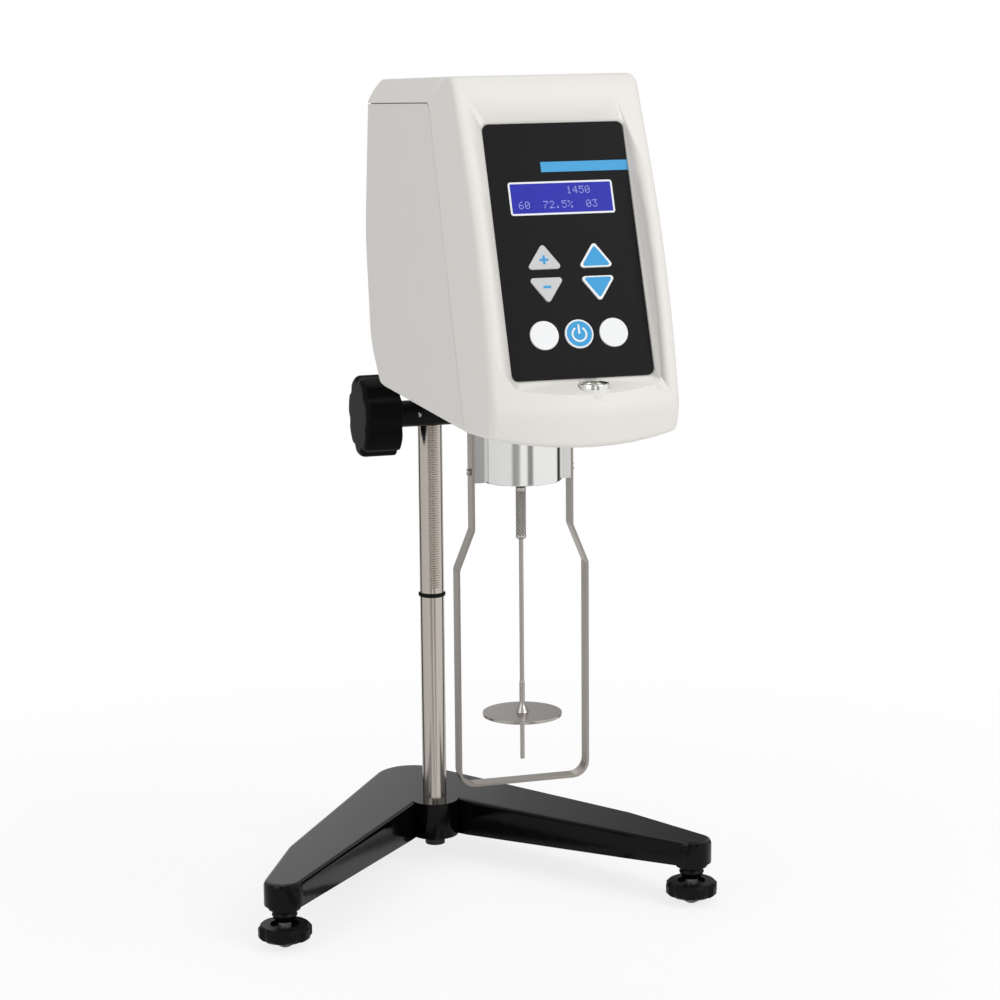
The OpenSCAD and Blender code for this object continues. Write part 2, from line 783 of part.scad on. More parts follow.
module clamp_body() color("#17181a") difference() {
    union() {
        at_rod() translate([0, 0, clamp_z]) cylinder(h = clamp_h, d = clamp_w);
        translate([-clamp_w / 2, clamp_front, pinion_z])
            cube([clamp_w, rod_y - clamp_front, clamp_z + clamp_h - pinion_z]);
        translate([-clamp_w / 2, clamp_nose, nose_low])
            cube([clamp_w, rod_y - clamp_nose, clamp_z + clamp_h - nose_low]);
        translate([-clamp_w / 2 - neck_l, pinion_y, pinion_z]) along_x()
            cylinder(h = neck_l + clamp_w, r = neck_r);
        at_rod() translate([0, 0, tension_z]) along_y() cylinder(h = tension_boss_l, d = tension_boss_d);
    }
    at_rod() translate([0, 0, clamp_z - 1]) cylinder(h = clamp_h + 2, r = rod_d / 2 + run);
    translate([-pinion_w / 2 - pinion_room, pinion_y, pinion_z]) along_x()
        cylinder(h = pinion_w + 2 * pinion_room, r = pinion_r + rack_m + pinion_room);
    translate([-clamp_w / 2 - neck_l - 1, pinion_y, pinion_z]) along_x()
        cylinder(h = clamp_w + neck_l + 2, r = pinion_shaft_d / 2 + run);
    translate([0, clamp_nose - 1, handle_z]) along_y() cylinder(h = handle_depth + 1.5, r = handle_d / 2 + run);
    translate([-nose_slit / 2, clamp_nose - 1, handle_z]) cube([nose_slit, handle_depth + 1.5, clamp_h]);
    translate([-clamp_w / 2 + screw_wall, clamp_screw_y, clamp_screw_z]) along_x()
        cylinder(h = clamp_w, r = clamp_screw_d / 2 + run);
    at_rod() translate([0, 0, tension_z]) along_y() cylinder(h = clamp_w, d = insert_d);
    translate([shaft_screw_x, clamp_front - 1, pinion_z]) along_y()
        cylinder(h = shaft_screw_l + 1, d = shaft_screw_d);
}

module tension_insert() color("#e8e4da") difference() {
    at_rod() translate([0, 0, tension_z]) along_y() cylinder(h = rod_d / 2 + insert_l, d = insert_d);
    at_rod() translate([0, 0, tension_z - insert_d]) cylinder(h = 2 * insert_d, r = rod_d / 2 + run);
}

module tension_screw() color("#8f8f8c") at_rod() translate([0, rod_d / 2 + insert_l, tension_z]) difference() {
    along_y() cylinder(h = tension_screw_l, d = insert_d);
    translate([-insert_d, tension_screw_l - tension_slot_h, -tension_slot_w / 2])
        cube([2 * insert_d, 2 * tension_slot_h, tension_slot_w]);
}

module shaft_screw() color("#c4c4c0") translate([shaft_screw_x, clamp_front, pinion_z]) along_y() {
    translate([0, 0, -1]) cylinder(h = 1, r1 = 0.8, r2 = 1.6);
    cylinder(h = shaft_screw_l - 0.3, d = shaft_screw_d);
}

// ---- Gears ----

// Point of an involute after rolling through angle a
function involute(rb, a) = rb * [cos(a) + a * PI / 180 * sin(a), sin(a) - a * PI / 180 * cos(a)];
function turn(p, a) = [p[0] * cos(a) - p[1] * sin(a), p[0] * sin(a) + p[1] * cos(a)];
// Outline of a gear: a tooth points along +X
function gear_points(teeth, m, steps) =
    let (
        rp = teeth * m / 2,
        rb = rp * cos(tooth_angle),
        rt = rp + m,
        rf = rp - tooth_root * m,
        roll = function(r) r <= rb ? 0 : sqrt(r * r / rb / rb - 1) * 180 / PI,
        polar = function(r) let (p = involute(rb, roll(r))) atan2(p[1], p[0]),
        half = 90 / teeth - backlash / 2 / rp * 180 / PI + polar(rp),
        flank = [for (i = [0:steps])
            let (r = max(rf, rb) + (rt - max(rf, rb)) * i / steps)
            [r, half - polar(r)]]
    )
    [for (k = [0:teeth - 1]) let (a = 360 / teeth * k) each concat(
        [turn([rf, 0], a - half)],
        [for (f = flank) turn([f[0], 0], a - f[1])],
        [for (i = [steps:-1:0]) turn([flank[i][0], 0], a + flank[i][1])],
        [turn([rf, 0], a + half)]
    )];

// The pinion's teeth face the rod at +Y
module pinion_shaft() color("#a9a9a5") translate([0, pinion_y, pinion_z]) {
    rotate([pinion_turn, 0, 0]) translate([-pinion_w / 2, 0, 0]) rotate([90, 0, 90])
        linear_extrude(pinion_w) polygon(gear_points(pinion_teeth, rack_m, 3));
    translate([-knob_out + knob_solid, 0, 0]) along_x()
        cylinder(h = knob_out - knob_solid + clamp_w / 2, d = pinion_shaft_d);
    translate([clamp_w / 2 + collar_gap, 0, 0]) along_x() difference() {
        cylinder(h = stay_t, d = stay_d);
        translate([0, 0, -1]) cylinder(h = stay_t + 2, d = pinion_shaft_d);
    }
    translate([clamp_w / 2 - 1, 0, 0]) along_x() cylinder(h = shaft_end + 1, d = pinion_shaft_d);
}

// A lobed hand knob: its outer face at z = 0, its skirt towards +z, bored for a shaft
module lobed_knob(d, t, bore) difference() {
    union() {
        cylinder(h = knob_edge, r1 = d / 2 - knob_edge, r2 = d / 2);
        translate([0, 0, knob_edge]) cylinder(h = t - 2 * knob_edge, d = d);
        translate([0, 0, t - knob_edge]) cylinder(h = knob_edge, r1 = d / 2, r2 = d / 2 - knob_edge);
    }
    for (i = [0:knob_lobes - 1]) rotate(360 / knob_lobes * (i + 0.5)) translate([d * knob_cut_at, 0, -1])
        cylinder(h = t + 2, d = d * knob_cut_d);
    translate([0, 0, knob_solid]) cylinder(h = t, d = bore);
    translate([0, 0, t - knob_hollow]) cylinder(h = knob_hollow + 1, d = d * knob_hollow_d);
}

module height_knob() color("#1c1c1e") translate([-knob_out, pinion_y, pinion_z]) along_x()
    lobed_knob(knob_d, knob_t, pinion_shaft_d);

module clamp_screw() color("#a9a9a5")
    translate([-clamp_w / 2 + screw_wall, clamp_screw_y, clamp_screw_z]) along_x()
        cylinder(h = clamp_w - screw_wall + clamp_knob_gap + clamp_knob_t - knob_solid - 1, d = clamp_screw_d);

module clamp_knob() color("#1c1c1e")
    translate([clamp_w / 2 + clamp_knob_gap + clamp_knob_t, clamp_screw_y, clamp_screw_z]) rotate([0, -90, 0])
        lobed_knob(clamp_knob_d, clamp_knob_t, clamp_screw_d);

// ---- Head ----

module mounting_handle() color("#b4b4b0") translate([0, 0, handle_z]) {
    translate([0, handle_y, 0]) along_y() cylinder(h = handle_l, d = handle_d);
    translate([0, clamp_nose - collar_gap - collar_t, 0]) along_y() difference() {
        cylinder(h = collar_t, d = handle_collar_d);
        translate([0, 0, -1]) cylinder(h = collar_t + 2, d = handle_d);
    }
}

module at_cover_screws() {
    for (x = [-1, 1], y = [plate_front + screw_inset_y, plate_back - screw_inset_y])
        translate([x * (plate_half - screw_inset_x), spindle_y + y, head_z]) children();
}

module cover_screw_holes(d) {
    at_cover_screws() translate([0, 0, -keel]) cylinder(h = keel + wall + plate_t, d = d);
}

module rear_cover() color("#dcdad6") difference() {
    union() {
        intersection() {
            difference() {
                head_form();
                head_form(wall);
            }
            behind_seam(seam_gap);
        }
        // Seat of the bottom plate
        intersection() {
            head_form();
            translate([0, 0, head_z - keel - 1]) plate_outline(keel + 1 + wall, 0);
        }
        // Tongue that enters the front cover's rebate
        intersection() {
            difference() {
                head_form(wall / 2);
                head_form(wall);
            }
            behind_seam(-seam_lip);
        }
        intersection() {
            head_form(wall / 2);
            translate([inlet_x, spindle_y + inlet_y - wall, inlet_z]) rotate([-90, 0, 0]) linear_extrude(40)
                square([inlet_flange_w + 2 * wall, inlet_flange_h + 2 * wall], center = true);
        }
    }
    // Opening under the bottom plate
    translate([0, 0, head_z - keel - 2]) plate_outline(keel + 2 + wall, rim_w);
    cover_screw_holes(screw_bore);
    at_cover_screws() translate([0, 0, -2 * keel]) cylinder(h = 2 * keel, d = cover_bore);
    translate([0, handle_y, handle_z]) along_y() cylinder(h = 60, r = handle_d / 2 + 0.4);
    translate([inlet_x, spindle_y + inlet_y, inlet_z]) rotate([-90, 0, 0]) linear_extrude(40)
        rounded_box(inlet_flange_w + 1, inlet_flange_h + 1, 3);
    translate([inlet_x, spindle_y + inlet_y - 10, inlet_z]) rotate([-90, 0, 0]) linear_extrude(20)
        rounded_box(inlet_w, inlet_h, 2);
}

// The sunk panel's space in front of the floor, or with t > 0 the tub round it
module recess(t) {
    w = panel_w + 2 * recess_gap + 2 * t;
    l = panel_l + 2 * recess_gap + 2 * t;
    shelf_run = recess_reach * tan(panel_tilt + shelf_tilt);
    r = panel_r + t;
    on_panel() translate([0, 0, -panel_l / 2]) hull() {
        translate([0, panel_t + t, 0]) rotate([90, 0, 0]) linear_extrude(eps) rounded_box(w, l, r);
        translate([0, -recess_reach, (recess_draft / 2 - shelf_run) / 2]) rotate([90, 0, 0]) linear_extrude(eps)
            rounded_box(w + 2 * recess_draft, l + recess_draft / 2 + shelf_run, r + 1);
    }
}

module front_cover() color("#e6e4e0") difference() {
    head_form();
    difference() {
        head_form(wall);
        recess(wall);
        translate([level_x, spindle_y + level_y, level_top - level_h - wall])
            cylinder(h = 30, d = level_d + 2 * wall);
    }
    recess(0);
    difference() {
        behind_seam(-seam_lip);
        difference() {
            behind_seam(-seam_lip - 1);
            behind_seam(0);
            head_form(wall / 2);
        }
    }
    panel_slab(-1, floor_back + 1) translate([0, -window_drop - window_h / 2])
        rounded_box(window_w - 2 * window_floor_rim, window_h - 2 * window_floor_rim, 1);
    panel_slab(-1, floor_back + 3) key_shapes(key_gap);
    translate([level_x, spindle_y + level_y, level_top - level_h]) cylinder(h = 40, d = level_d);
}

// The bottom plate's footprint, h thick, with its rim cut back by t
module plate_outline(h, t) {
    translate([0, spindle_y + (plate_front + plate_back) / 2, 0]) linear_extrude(h)
        rounded_box(2 * (plate_half - t), plate_back - plate_front - 2 * t, plate_r);
}

module bottom_plate() color("#a8a9ab") difference() {
    union() {
        translate([0, 0, plate_low]) plate_outline(plate_t, 0);
        translate([-handle_block_w / 2, handle_y - handle_block_wall, plate_low])
            cube([handle_block_w, handle_block_l, handle_block_top - plate_low]);
    }
    at_spindle() translate([0, 0, plate_low - 1]) cylinder(h = plate_t + 2, d = bearing_d);
    translate([0, handle_y, handle_z]) along_y() cylinder(h = 40, d = handle_d);
    cover_screw_holes(screw_d);
}

module cover_screws() color("#b8b8b5") at_cover_screws() {
    translate([0, 0, -cover_head_h]) difference() {
        cylinder(h = cover_head_h, d = cover_head_d);
        translate([-slot_w / 2, -cover_head_d, -1]) cube([slot_w, 2 * cover_head_d, 1 + cover_head_h / 2]);
    }
    cylinder(h = wall + plate_t - 2, d = screw_d);
}

module pillars() color("#c4c5c6") at_spindle() for (p = pillar_spots)
    translate([p[0], p[1], plate_top]) cylinder(h = motor_plate_z - plate_top, d = pillar_d);

module motor_plate() color("#b0b1b3") at_spindle() difference() {
    translate([0, (plate_front + plate_back) / 2, motor_plate_z]) linear_extrude(motor_plate_t)
        rounded_box(motor_plate_w, motor_plate_l, 6);
    translate([0, 0, motor_plate_z - 1]) cylinder(h = motor_plate_t + 2, d = bearing_d);
    translate([0, gear_gap, motor_plate_z - 1]) cylinder(h = motor_plate_t + 2, d = motor_boss_d);
}

module motor() color("#3a3b3e")
    at_spindle() translate([0, gear_gap, motor_plate_z + motor_plate_t]) difference() {
        union() {
            linear_extrude(motor_h) rounded_box(motor_w, motor_w, motor_r);
            translate([0, 0, -motor_boss_h]) cylinder(h = motor_boss_h + 0.5, d = motor_boss_d);
        }
        translate([0, 0, -motor_boss_h - 1]) cylinder(h = motor_h - 2, r = motor_shaft_d / 2 + run);
    }

module motor_pinion() color("#b9a15a") at_spindle() translate([0, gear_gap, gear_z]) {
    rotate(180 / small_teeth + 90) linear_extrude(gear_h) polygon(gear_points(small_teeth, gear_m, 2));
    translate([0, 0, gear_h])
        cylinder(h = motor_plate_z + motor_h - motor_end - gear_z - gear_h, d = motor_shaft_d);
}

module drive_gear() color("#c8b36a") at_spindle() difference() {
    union() {
        translate([0, 0, gear_z]) rotate(90) linear_extrude(gear_h) polygon(gear_points(big_teeth, gear_m, 1));
        translate([0, 0, gear_z + gear_h]) cylinder(h = hub_top - gear_z - gear_h, d = hub_d);
        translate([0, 0, skirt_low]) difference() {
            cylinder(h = gear_z - skirt_low, r = cup_skirt_r);
            translate([0, 0, -1]) cylinder(h = gear_z - skirt_low + 1, r = cup_skirt_r - skirt_t);
        }
    }
    translate([0, 0, gear_z - 1]) cylinder(h = gear_h + 1, r = pivot_d / 2 + run);
}

// Flat spiral between the collet on the shaft and the drive gear's skirt
module torsion_spring() color("#c98f4e") at_spindle() translate([0, 0, spring_z]) {
    growth = cup_skirt_r - skirt_t - spring_t - spring_in;
    spiral = function(t, off)
        (spring_in + growth * t + off) * [cos(360 * spring_turns * t), sin(360 * spring_turns * t)];
    linear_extrude(spring_h) polygon(concat(
        [for (i = [0:spring_steps]) spiral(i / spring_steps, 0)],
        [for (i = [spring_steps:-1:0]) spiral(i / spring_steps, spring_t)]
    ));
    difference() {
        cylinder(h = spring_h, r = spring_in + 0.3);
        translate([0, 0, -1]) cylinder(h = spring_h + 2, r = pivot_d / 2 + run);
    }
    translate([cup_skirt_r - skirt_t - 1.5 * spring_t, -1, 0]) cube([0.5, 2, spring_h]);
}

module transducer() color("#55585c") at_spindle() difference() {
    translate([0, 0, plate_top]) cylinder(h = transducer_h, d = transducer_d);
    translate([0, 0, plate_top - 1]) cylinder(h = transducer_h + 2, r = pivot_d / 2 + run);
}

module pivot_bearing() color("#8d8e90") at_spindle() difference() {
    translate([0, 0, plate_low]) cylinder(h = plate_t, d = bearing_d);
    translate([0, 0, plate_low - 1]) cylinder(h = plate_t + 2, r = pivot_d / 2 + run);
}

module pivot_shaft() color("#cfcfcc") at_spindle() {
    translate([0, 0, coupling_top - thread_l])
        cylinder(h = gear_z + gear_h - 1 - coupling_top + thread_l, d = pivot_d);
}

module pivot_cup() color("#d6d6d4") at_spindle() difference() {
    translate([0, 0, cup_low]) rotate_extrude() polygon([
        [0, 0], [cup_d / 2 - cup_edge, 0], [cup_d / 2, cup_edge],
        [cup_d / 2, plate_low - cup_low], [0, plate_low - cup_low]
    ]);
    translate([0, 0, cup_low + cup_floor]) cylinder(h = plate_low - cup_low, d = cup_d - 2 * cup_wall);
    translate([0, 0, cup_low - 1]) cylinder(h = cup_floor + 2, r = cup_hole_r);
}

module guard_brackets() color("#d0d0ce") at_spindle() both_sides() difference() {
    translate([cup_d / 2 - bracket_in, -strip_w / 2, cup_low])
        cube([bracket_x - cup_d / 2 + bracket_in, strip_w, plate_low - cup_low]);
    translate([0, 0, cup_low - 1]) cylinder(h = plate_low - cup_low + 2, d = cup_d);
    translate([0, 0, screw_z]) along_x() cylinder(h = 60, d = screw_core_d);
}

// Half of the guard leg's middle line, from the top down to the middle of the foot: [x, z, radius]
function guard_line() =
    let (r = guard_bend_r)
    [
        [guard_high / 2, guard_top, 0],
        [guard_high / 2, bend_high, upper_bend_r],
        [guard_low / 2, bend_low, upper_bend_r],
        [guard_low / 2, guard_foot, r],
        [0, guard_foot, 0]
    ];
// Middle line moved sideways by d, with its bends rounded
function offset_line(c, d) =
    let (m = len(c))
    [for (i = [0:m - 1])
        let (
            a = i == 0 ? left_of(unit(xy(c[1]) - xy(c[0]))) : left_of(unit(xy(c[i]) - xy(c[i - 1]))),
            b = i == m - 1 ? a : left_of(unit(xy(c[i + 1]) - xy(c[i]))),
            p = xy(c[i]) + (a + b) * d / (1 + a * b),
            bend = a * left_of(b)
        )
        [p[0], p[1], i == 0 || i == m - 1 ? 0 : c[i][2] + (bend > 0 ? d : -d)]];
function bent(c, n) =
    let (m = len(c))
    [for (i = [0:m - 1]) each (c[i][2] <= 0 ? [xy(c[i])] : corner_arc(c[i - 1], c[i], c[i + 1], n))];

module guard_leg() color("#c6c5c2") at_spindle() difference() {
    outer = bent(offset_line(guard_line(), strip_t / 2), 5);
    inner = bent(offset_line(guard_line(), -strip_t / 2), 5);
    half = concat(outer, [for (i = [len(inner) - 1:-1:0]) inner[i]]);
    both_sides() translate([0, strip_w / 2, 0]) rotate([90, 0, 0]) linear_extrude(strip_w) polygon(half);
    both_sides() translate([0, 0, screw_z]) along_x() cylinder(h = 60, d = strip_bore_d);
}

module guard_screws() color("#bdbdba")
    at_spindle() both_sides() translate([bracket_x - screw_l, 0, screw_z]) along_x() {
        cylinder(h = screw_l + strip_t, d = screw_core_d);
        translate([0, 0, screw_l + strip_t]) difference() {
            cylinder(h = screw_head_h, d = screw_head_d);
            translate([-slot_w / 2, -screw_head_d, screw_head_h / 2])
                cube([slot_w, 2 * screw_head_d, screw_head_h]);
        }
    }

// ---- Measuring parts ----

module coupling_nut() color("#bcbbb8") at_spindle() difference() {
    translate([0, 0, coupling_z]) rotate_extrude() polygon([
        [0, 0], [coupling_d / 2 - coupling_edge, 0], [coupling_d / 2, coupling_edge],
        [coupling_d / 2, coupling_l - coupling_edge], [coupling_d / 2 - coupling_edge, coupling_l],
        [0, coupling_l]
    ]);
    translate([0, 0, coupling_z - 1]) cylinder(h = thread_l + 1, d = thin_d);
    translate([0, 0, coupling_top - thread_l]) cylinder(h = thread_l + 1, d = pivot_d);
    for (i = [0:grip_count - 1]) rotate(360 / grip_count * i)
        translate([coupling_d / 2 + grip_out, 0, coupling_z + grip_end])
            cylinder(h = coupling_l - 2 * grip_end, r = grip_r, $fn = 16);
}

module spindle() color("#bdbcb9") at_spindle() rotate_extrude() polygon([
    [0, tip_low_z], [thin_d / 2 - point_edge, tip_low_z], [thin_d / 2, tip_low_z + point_edge],
    [thin_d / 2, disk_z - disk_t], [disk_d / 2, disk_z - disk_t], [disk_d / 2, disk_z],
    [collar_d / 2, disk_z], [shaft_d / 2, disk_z + collar_l], [shaft_d / 2, disk_z + thick_l],
    [thin_d / 2, disk_z + thick_l + 1], [thin_d / 2, coupling_z + thread_l], [0, coupling_z + thread_l]
]);

// ---- Panel, keys and electronics ----

// A triangle with rounded corners that points up, its box centred on zero
module arrow(w, h, r) {
    // How far the sharp corners lie outside the rounded ones
    out = r * 0.62;
    polygon(rounded([[0, h / 2 + out, r], [-w / 2 - out, -h / 2, r], [w / 2 + out, -h / 2, r]], 4));
}
module key_shape(name, gap) {
    up = name == "speed_up" || name == "spindle_up";
    if (name == "speed_up" || name == "speed_down" || name == "spindle_up" || name == "spindle_down")
        translate(key_spot(name))
            rotate(up ? 0 : 180) arrow(arrow_w + 2 * gap, arrow_h + 2 * gap, arrow_r + gap);
    else
        translate(key_spot(name)) circle(d = round_key_d + 2 * gap);
}
key_names = ["speed_up", "speed_down", "spindle_up", "spindle_down", "motor", "power", "range"];
module key_shapes(gap) { for (name = key_names) key_shape(name, gap); }
function key_spot(name) =
    name == "speed_up" ? [speed_x, -up_drop] : name == "speed_down" ? [speed_x, -down_drop]
    : name == "spindle_up" ? [spindle_x, -up_drop] : name == "spindle_down" ? [spindle_x, -down_drop]
    : name == "motor" ? [-round_pitch, -round_drop] : name == "range" ? [round_pitch, -round_drop]
    : [0, -round_drop];

// A key: cap through the panel and the cover's floor, flange behind it, stem to the board
module key(name) {
    panel_slab(-key_proud, floor_back + flange_gap + flange_t / 2) key_shape(name, 0);
    panel_slab(floor_back + flange_gap, floor_back + flange_gap + flange_t) key_shape(name, flange_w);
    panel_slab(floor_back + flange_gap + flange_t / 2, board_y - key_travel - stem_gap)
        translate(key_spot(name)) circle(d = stem_d);
}
module key_speed_up() color("#cfd2d4") key("speed_up");
module key_speed_down() color("#cfd2d4") key("speed_down");
module key_spindle_up() color("#3f9fd8") key("spindle_up");
module key_spindle_down() color("#3f9fd8") key("spindle_down");
module key_motor() color("#f2f2f2") key("motor");
module key_power() color("#3f9fd8") key("power");
module key_range() color("#f2f2f2") key("range");

module keypad_panel() color("#1f1f20") difference() {
    panel_slab(0, panel_t) translate([0, -panel_l / 2]) rounded_box(panel_w, panel_l, panel_r);
    panel_slab(-1, panel_t + 1) key_shapes(key_gap);
    panel_slab(-1, panel_t + 1) translate([0, -window_drop - window_h / 2])
        rounded_box(window_w, window_h, window_r);
}

module display_window() color("#dfe6ee") panel_slab(0.1, panel_t)
    translate([0, -window_drop - window_h / 2]) rounded_box(window_w, window_h, window_r);

module display_module() color("#2a2fa8") {
    panel_slab(panel_t + glass_gap, floor_back) translate([0, -window_drop - window_h / 2])
        rounded_box(window_w - 2 * glass_rim, window_h - 2 * glass_rim, window_r / 2);
    panel_slab(floor_back, display_back) translate([0, -window_drop - window_h / 2])
        rounded_box(window_w + display_more_w, window_h + display_more_h, 1);
}

module circuit_board() color("#1f6b46") {
    panel_slab(board_y, board_y + board_t) translate([0, -board_drop - board_l / 2])
        rounded_box(board_w, board_l, board_r);
    for (x = [-1, 1], d = [board_drop + board_post_in, board_drop + board_l - board_post_in])
        panel_slab(floor_back, board_y) translate([x * (board_w / 2 - board_post_in + 0.5), -d])
            circle(d = board_post_d);
}

module drive_bearing() color("#8d8e90") at_spindle() difference() {
    translate([0, 0, motor_plate_z - 1]) cylinder(h = motor_plate_t + 1, d = bearing_d);
    translate([0, 0, motor_plate_z - 2]) cylinder(h = motor_plate_t + 3, r = hub_d / 2 + run);
}

module level_ring() color("#c9c9c6") translate([level_x, spindle_y + level_y, level_top - level_rim])
    rotate_extrude() polygon([
        [level_d / 2 - level_rim_w, 0], [level_d / 2, 0], [level_d / 2, level_rim + level_rim_up * 0.6],
        [level_d / 2 - 0.5, level_rim + level_rim_up],
        [level_d / 2 - level_rim_w, level_rim + level_rim_up * 0.4]
    ]);

module level_vial() color("#d9e6a0") translate([level_x, spindle_y + level_y, level_top - level_h]) {
    cylinder(h = level_h - level_rim, d = level_d);
    translate([0, 0, level_h - level_rim]) cylinder(h = level_rim, d = level_d - 2 * level_rim_w);
}

module power_inlet() color("#1a1a1c") translate([inlet_x, spindle_y + inlet_y, inlet_z]) difference() {
    union() {
        rotate([-90, 0, 0]) linear_extrude(inlet_flange_t) rounded_box(inlet_flange_w, inlet_flange_h, 2);
        translate([0, -inlet_depth, 0]) rotate([-90, 0, 0]) linear_extrude(inlet_depth + 1)
            rounded_box(inlet_w, inlet_h, 2);
    }
    translate([0, -inlet_depth + inlet_floor, 0]) rotate([-90, 0, 0]) linear_extrude(inlet_depth + 6)
        rounded_box(inlet_w - 2 * inlet_wall, inlet_h - 2.2 * inlet_wall, 3);
}

base_casting();
rear_foot_pad();
rod_screw();
rod_washer();
rack_rod();
stop_ring();
levelling_stud_left();
levelling_wheel_left();
levelling_stud_right();
levelling_wheel_right();
lock_nuts();
clamp_body();
tension_insert();
tension_screw();
pinion_shaft();
shaft_screw();
height_knob();
clamp_screw();
clamp_knob();
mounting_handle();
rear_cover();
front_cover();
bottom_plate();
pillars();
motor_plate();
motor();
motor_pinion();
drive_bearing();
drive_gear();
torsion_spring();
transducer();
pivot_bearing();
pivot_shaft();
pivot_cup();
guard_brackets();
guard_leg();
guard_screws();
coupling_nut();
spindle();
circuit_board();
display_module();
display_window();
keypad_panel();
key_speed_up();
key_speed_down();
key_spindle_up();
key_spindle_down();
key_motor();
key_power();
key_range();
level_ring();
level_vial();
power_inlet();
cover_screws();
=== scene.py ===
# %% [markdown]
# # A rotational viscometer
#
# The instrument turns a disk in a liquid and reads how hard the liquid holds it back. The packed
# model gives every part its place, so this file dresses it: it gives each part its finish, and
# swaps the parts that are seen most for finer ones that ride on the same bodies. Three of these,
# the height knob, the stop ring and the level's ring, differ a little in size from the packed
# part, and their cells say by how much.

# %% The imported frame
import json
from math import cos, pi, radians, sin, tan

import bmesh
import bpy
from mathutils import Matrix, Vector

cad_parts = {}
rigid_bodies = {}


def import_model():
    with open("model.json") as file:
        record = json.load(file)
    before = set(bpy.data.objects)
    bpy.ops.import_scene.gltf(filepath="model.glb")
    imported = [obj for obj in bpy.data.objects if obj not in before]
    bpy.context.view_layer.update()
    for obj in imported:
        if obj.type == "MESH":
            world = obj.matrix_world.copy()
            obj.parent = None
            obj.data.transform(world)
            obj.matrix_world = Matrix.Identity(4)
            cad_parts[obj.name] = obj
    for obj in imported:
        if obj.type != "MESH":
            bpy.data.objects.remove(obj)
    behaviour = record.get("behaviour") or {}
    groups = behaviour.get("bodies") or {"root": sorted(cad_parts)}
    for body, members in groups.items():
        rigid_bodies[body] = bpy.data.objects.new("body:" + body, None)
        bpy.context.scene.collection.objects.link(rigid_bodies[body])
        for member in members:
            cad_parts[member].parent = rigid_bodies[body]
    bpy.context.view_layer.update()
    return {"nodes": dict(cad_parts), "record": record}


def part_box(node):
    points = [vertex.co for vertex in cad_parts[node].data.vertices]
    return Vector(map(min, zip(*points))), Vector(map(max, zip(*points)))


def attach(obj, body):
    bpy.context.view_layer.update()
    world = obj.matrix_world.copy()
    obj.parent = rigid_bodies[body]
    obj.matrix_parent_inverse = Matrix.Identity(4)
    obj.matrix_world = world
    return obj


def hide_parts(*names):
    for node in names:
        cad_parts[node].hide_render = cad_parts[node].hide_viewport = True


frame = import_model()
MM = 0.001
BODIES = frame["record"]["behaviour"]["bodies"]
BODY_OF = {node: body for body, nodes in BODIES.items() for node in nodes}

# %% [markdown]
# ## Camera
#
# A camera is a lens length and a place. The instrument is seen from the front left, a little from
# above, with a long lens that keeps its upright lines nearly parallel. The three axes of the view
# are built by hand, so that a small roll can be added to them.

# %% The camera
SPINDLE_Y = (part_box("spindle")[0].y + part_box("spindle")[1].y) / 2
VIEW_TURN, VIEW_DROP, VIEW_ROLL = 16.68, 10.9, -0.48  # degrees
VIEW_PLACE = (-0.4761, SPINDLE_Y - 1.5468, 0.5924)
LENS = 101.79


def view_axes(turn, drop, roll):
    """Right, up and back of a camera that looks down by drop, turned and rolled."""
    back = Vector((-sin(turn) * cos(drop), -cos(turn) * cos(drop), sin(drop)))
    right = (-back).cross(Vector((0, 0, 1))).normalized()
    up = right.cross(-back)
    return right * cos(roll) + up * sin(roll), up * cos(roll) - right * sin(roll), back


def add_camera():
    right, up, back = view_axes(radians(VIEW_TURN), radians(VIEW_DROP), radians(VIEW_ROLL))
    data = bpy.data.cameras.new("studio_camera")
    data.sensor_width = 36
    data.lens = LENS
    data.clip_end = 20
    camera = bpy.data.objects.new("studio_camera", data)
    bpy.context.scene.collection.objects.link(camera)
    place = Matrix((right, up, back)).transposed().to_4x4()
    place.translation = Vector(VIEW_PLACE)
    camera.matrix_world = place
    bpy.context.scene.camera = camera
    return camera


camera = add_camera()
print("camera at", [round(v, 3) for v in camera.matrix_world.translation])

# %% [markdown]
# ## Shader maths
#
# A finish is a small sum: a base colour, plus a little noise, times a mask. Wiring Math nodes one
# by one hides that sum, so this class wraps a socket and lets Python's own operators add the
# nodes.

# %% Wires that add Math nodes
class Wire:
    """An output socket of a material. Arithmetic on it adds Math nodes."""

    def __init__(self, tree, socket):
        self.tree = tree
        self.socket = socket

    def add(self, kind, settings=None, inputs=None, out=0):
        """Adds a node: its settings first, then the values or wires of its sockets."""
        node = self.tree.nodes.new(kind)
        for name, value in (settings or {}).items():
            if name == "stops":
                set_stops(node.color_ramp, value)
            else:
                setattr(node, name, value)
        for key, value in (inputs or {}).items():
            plug(self.tree, value, node.inputs[key])
        return Wire(self.tree, node.outputs[out])

    def maths(self, operation, *values):
        return self.add("ShaderNodeMath", {"operation": operation}, dict(enumerate(values)))

    def then(self, operation, *values):
        """This wire as the first value of an operation."""
        return self.maths(operation, self, *values)

    def __add__(self, other):
        return self.maths("ADD", self, other)

    def __sub__(self, other):
        return self.maths("SUBTRACT", self, other)

    def __rsub__(self, other):
        return self.maths("SUBTRACT", other, self)

    def __mul__(self, other):
        return self.maths("MULTIPLY", self, other)

    def __truediv__(self, other):
        return self.maths("DIVIDE", self, other)

    def __gt__(self, other):
        return self.maths("GREATER_THAN", self, other)

    def __lt__(self, other):
        return self.maths("LESS_THAN", self, other)

    def __abs__(self):
        return self.maths("ABSOLUTE", self)

    __radd__ = __add__
    __rmul__ = __mul__


def plug(tree, value, socket):
    """Puts a number, a colour or a wire into a socket."""
    if isinstance(value, Wire):
        tree.links.new(value.socket, socket)
    elif socket.type == "RGBA" and len(value) == 3:
        socket.default_value = (*value, 1)
    else:
        socket.default_value = value


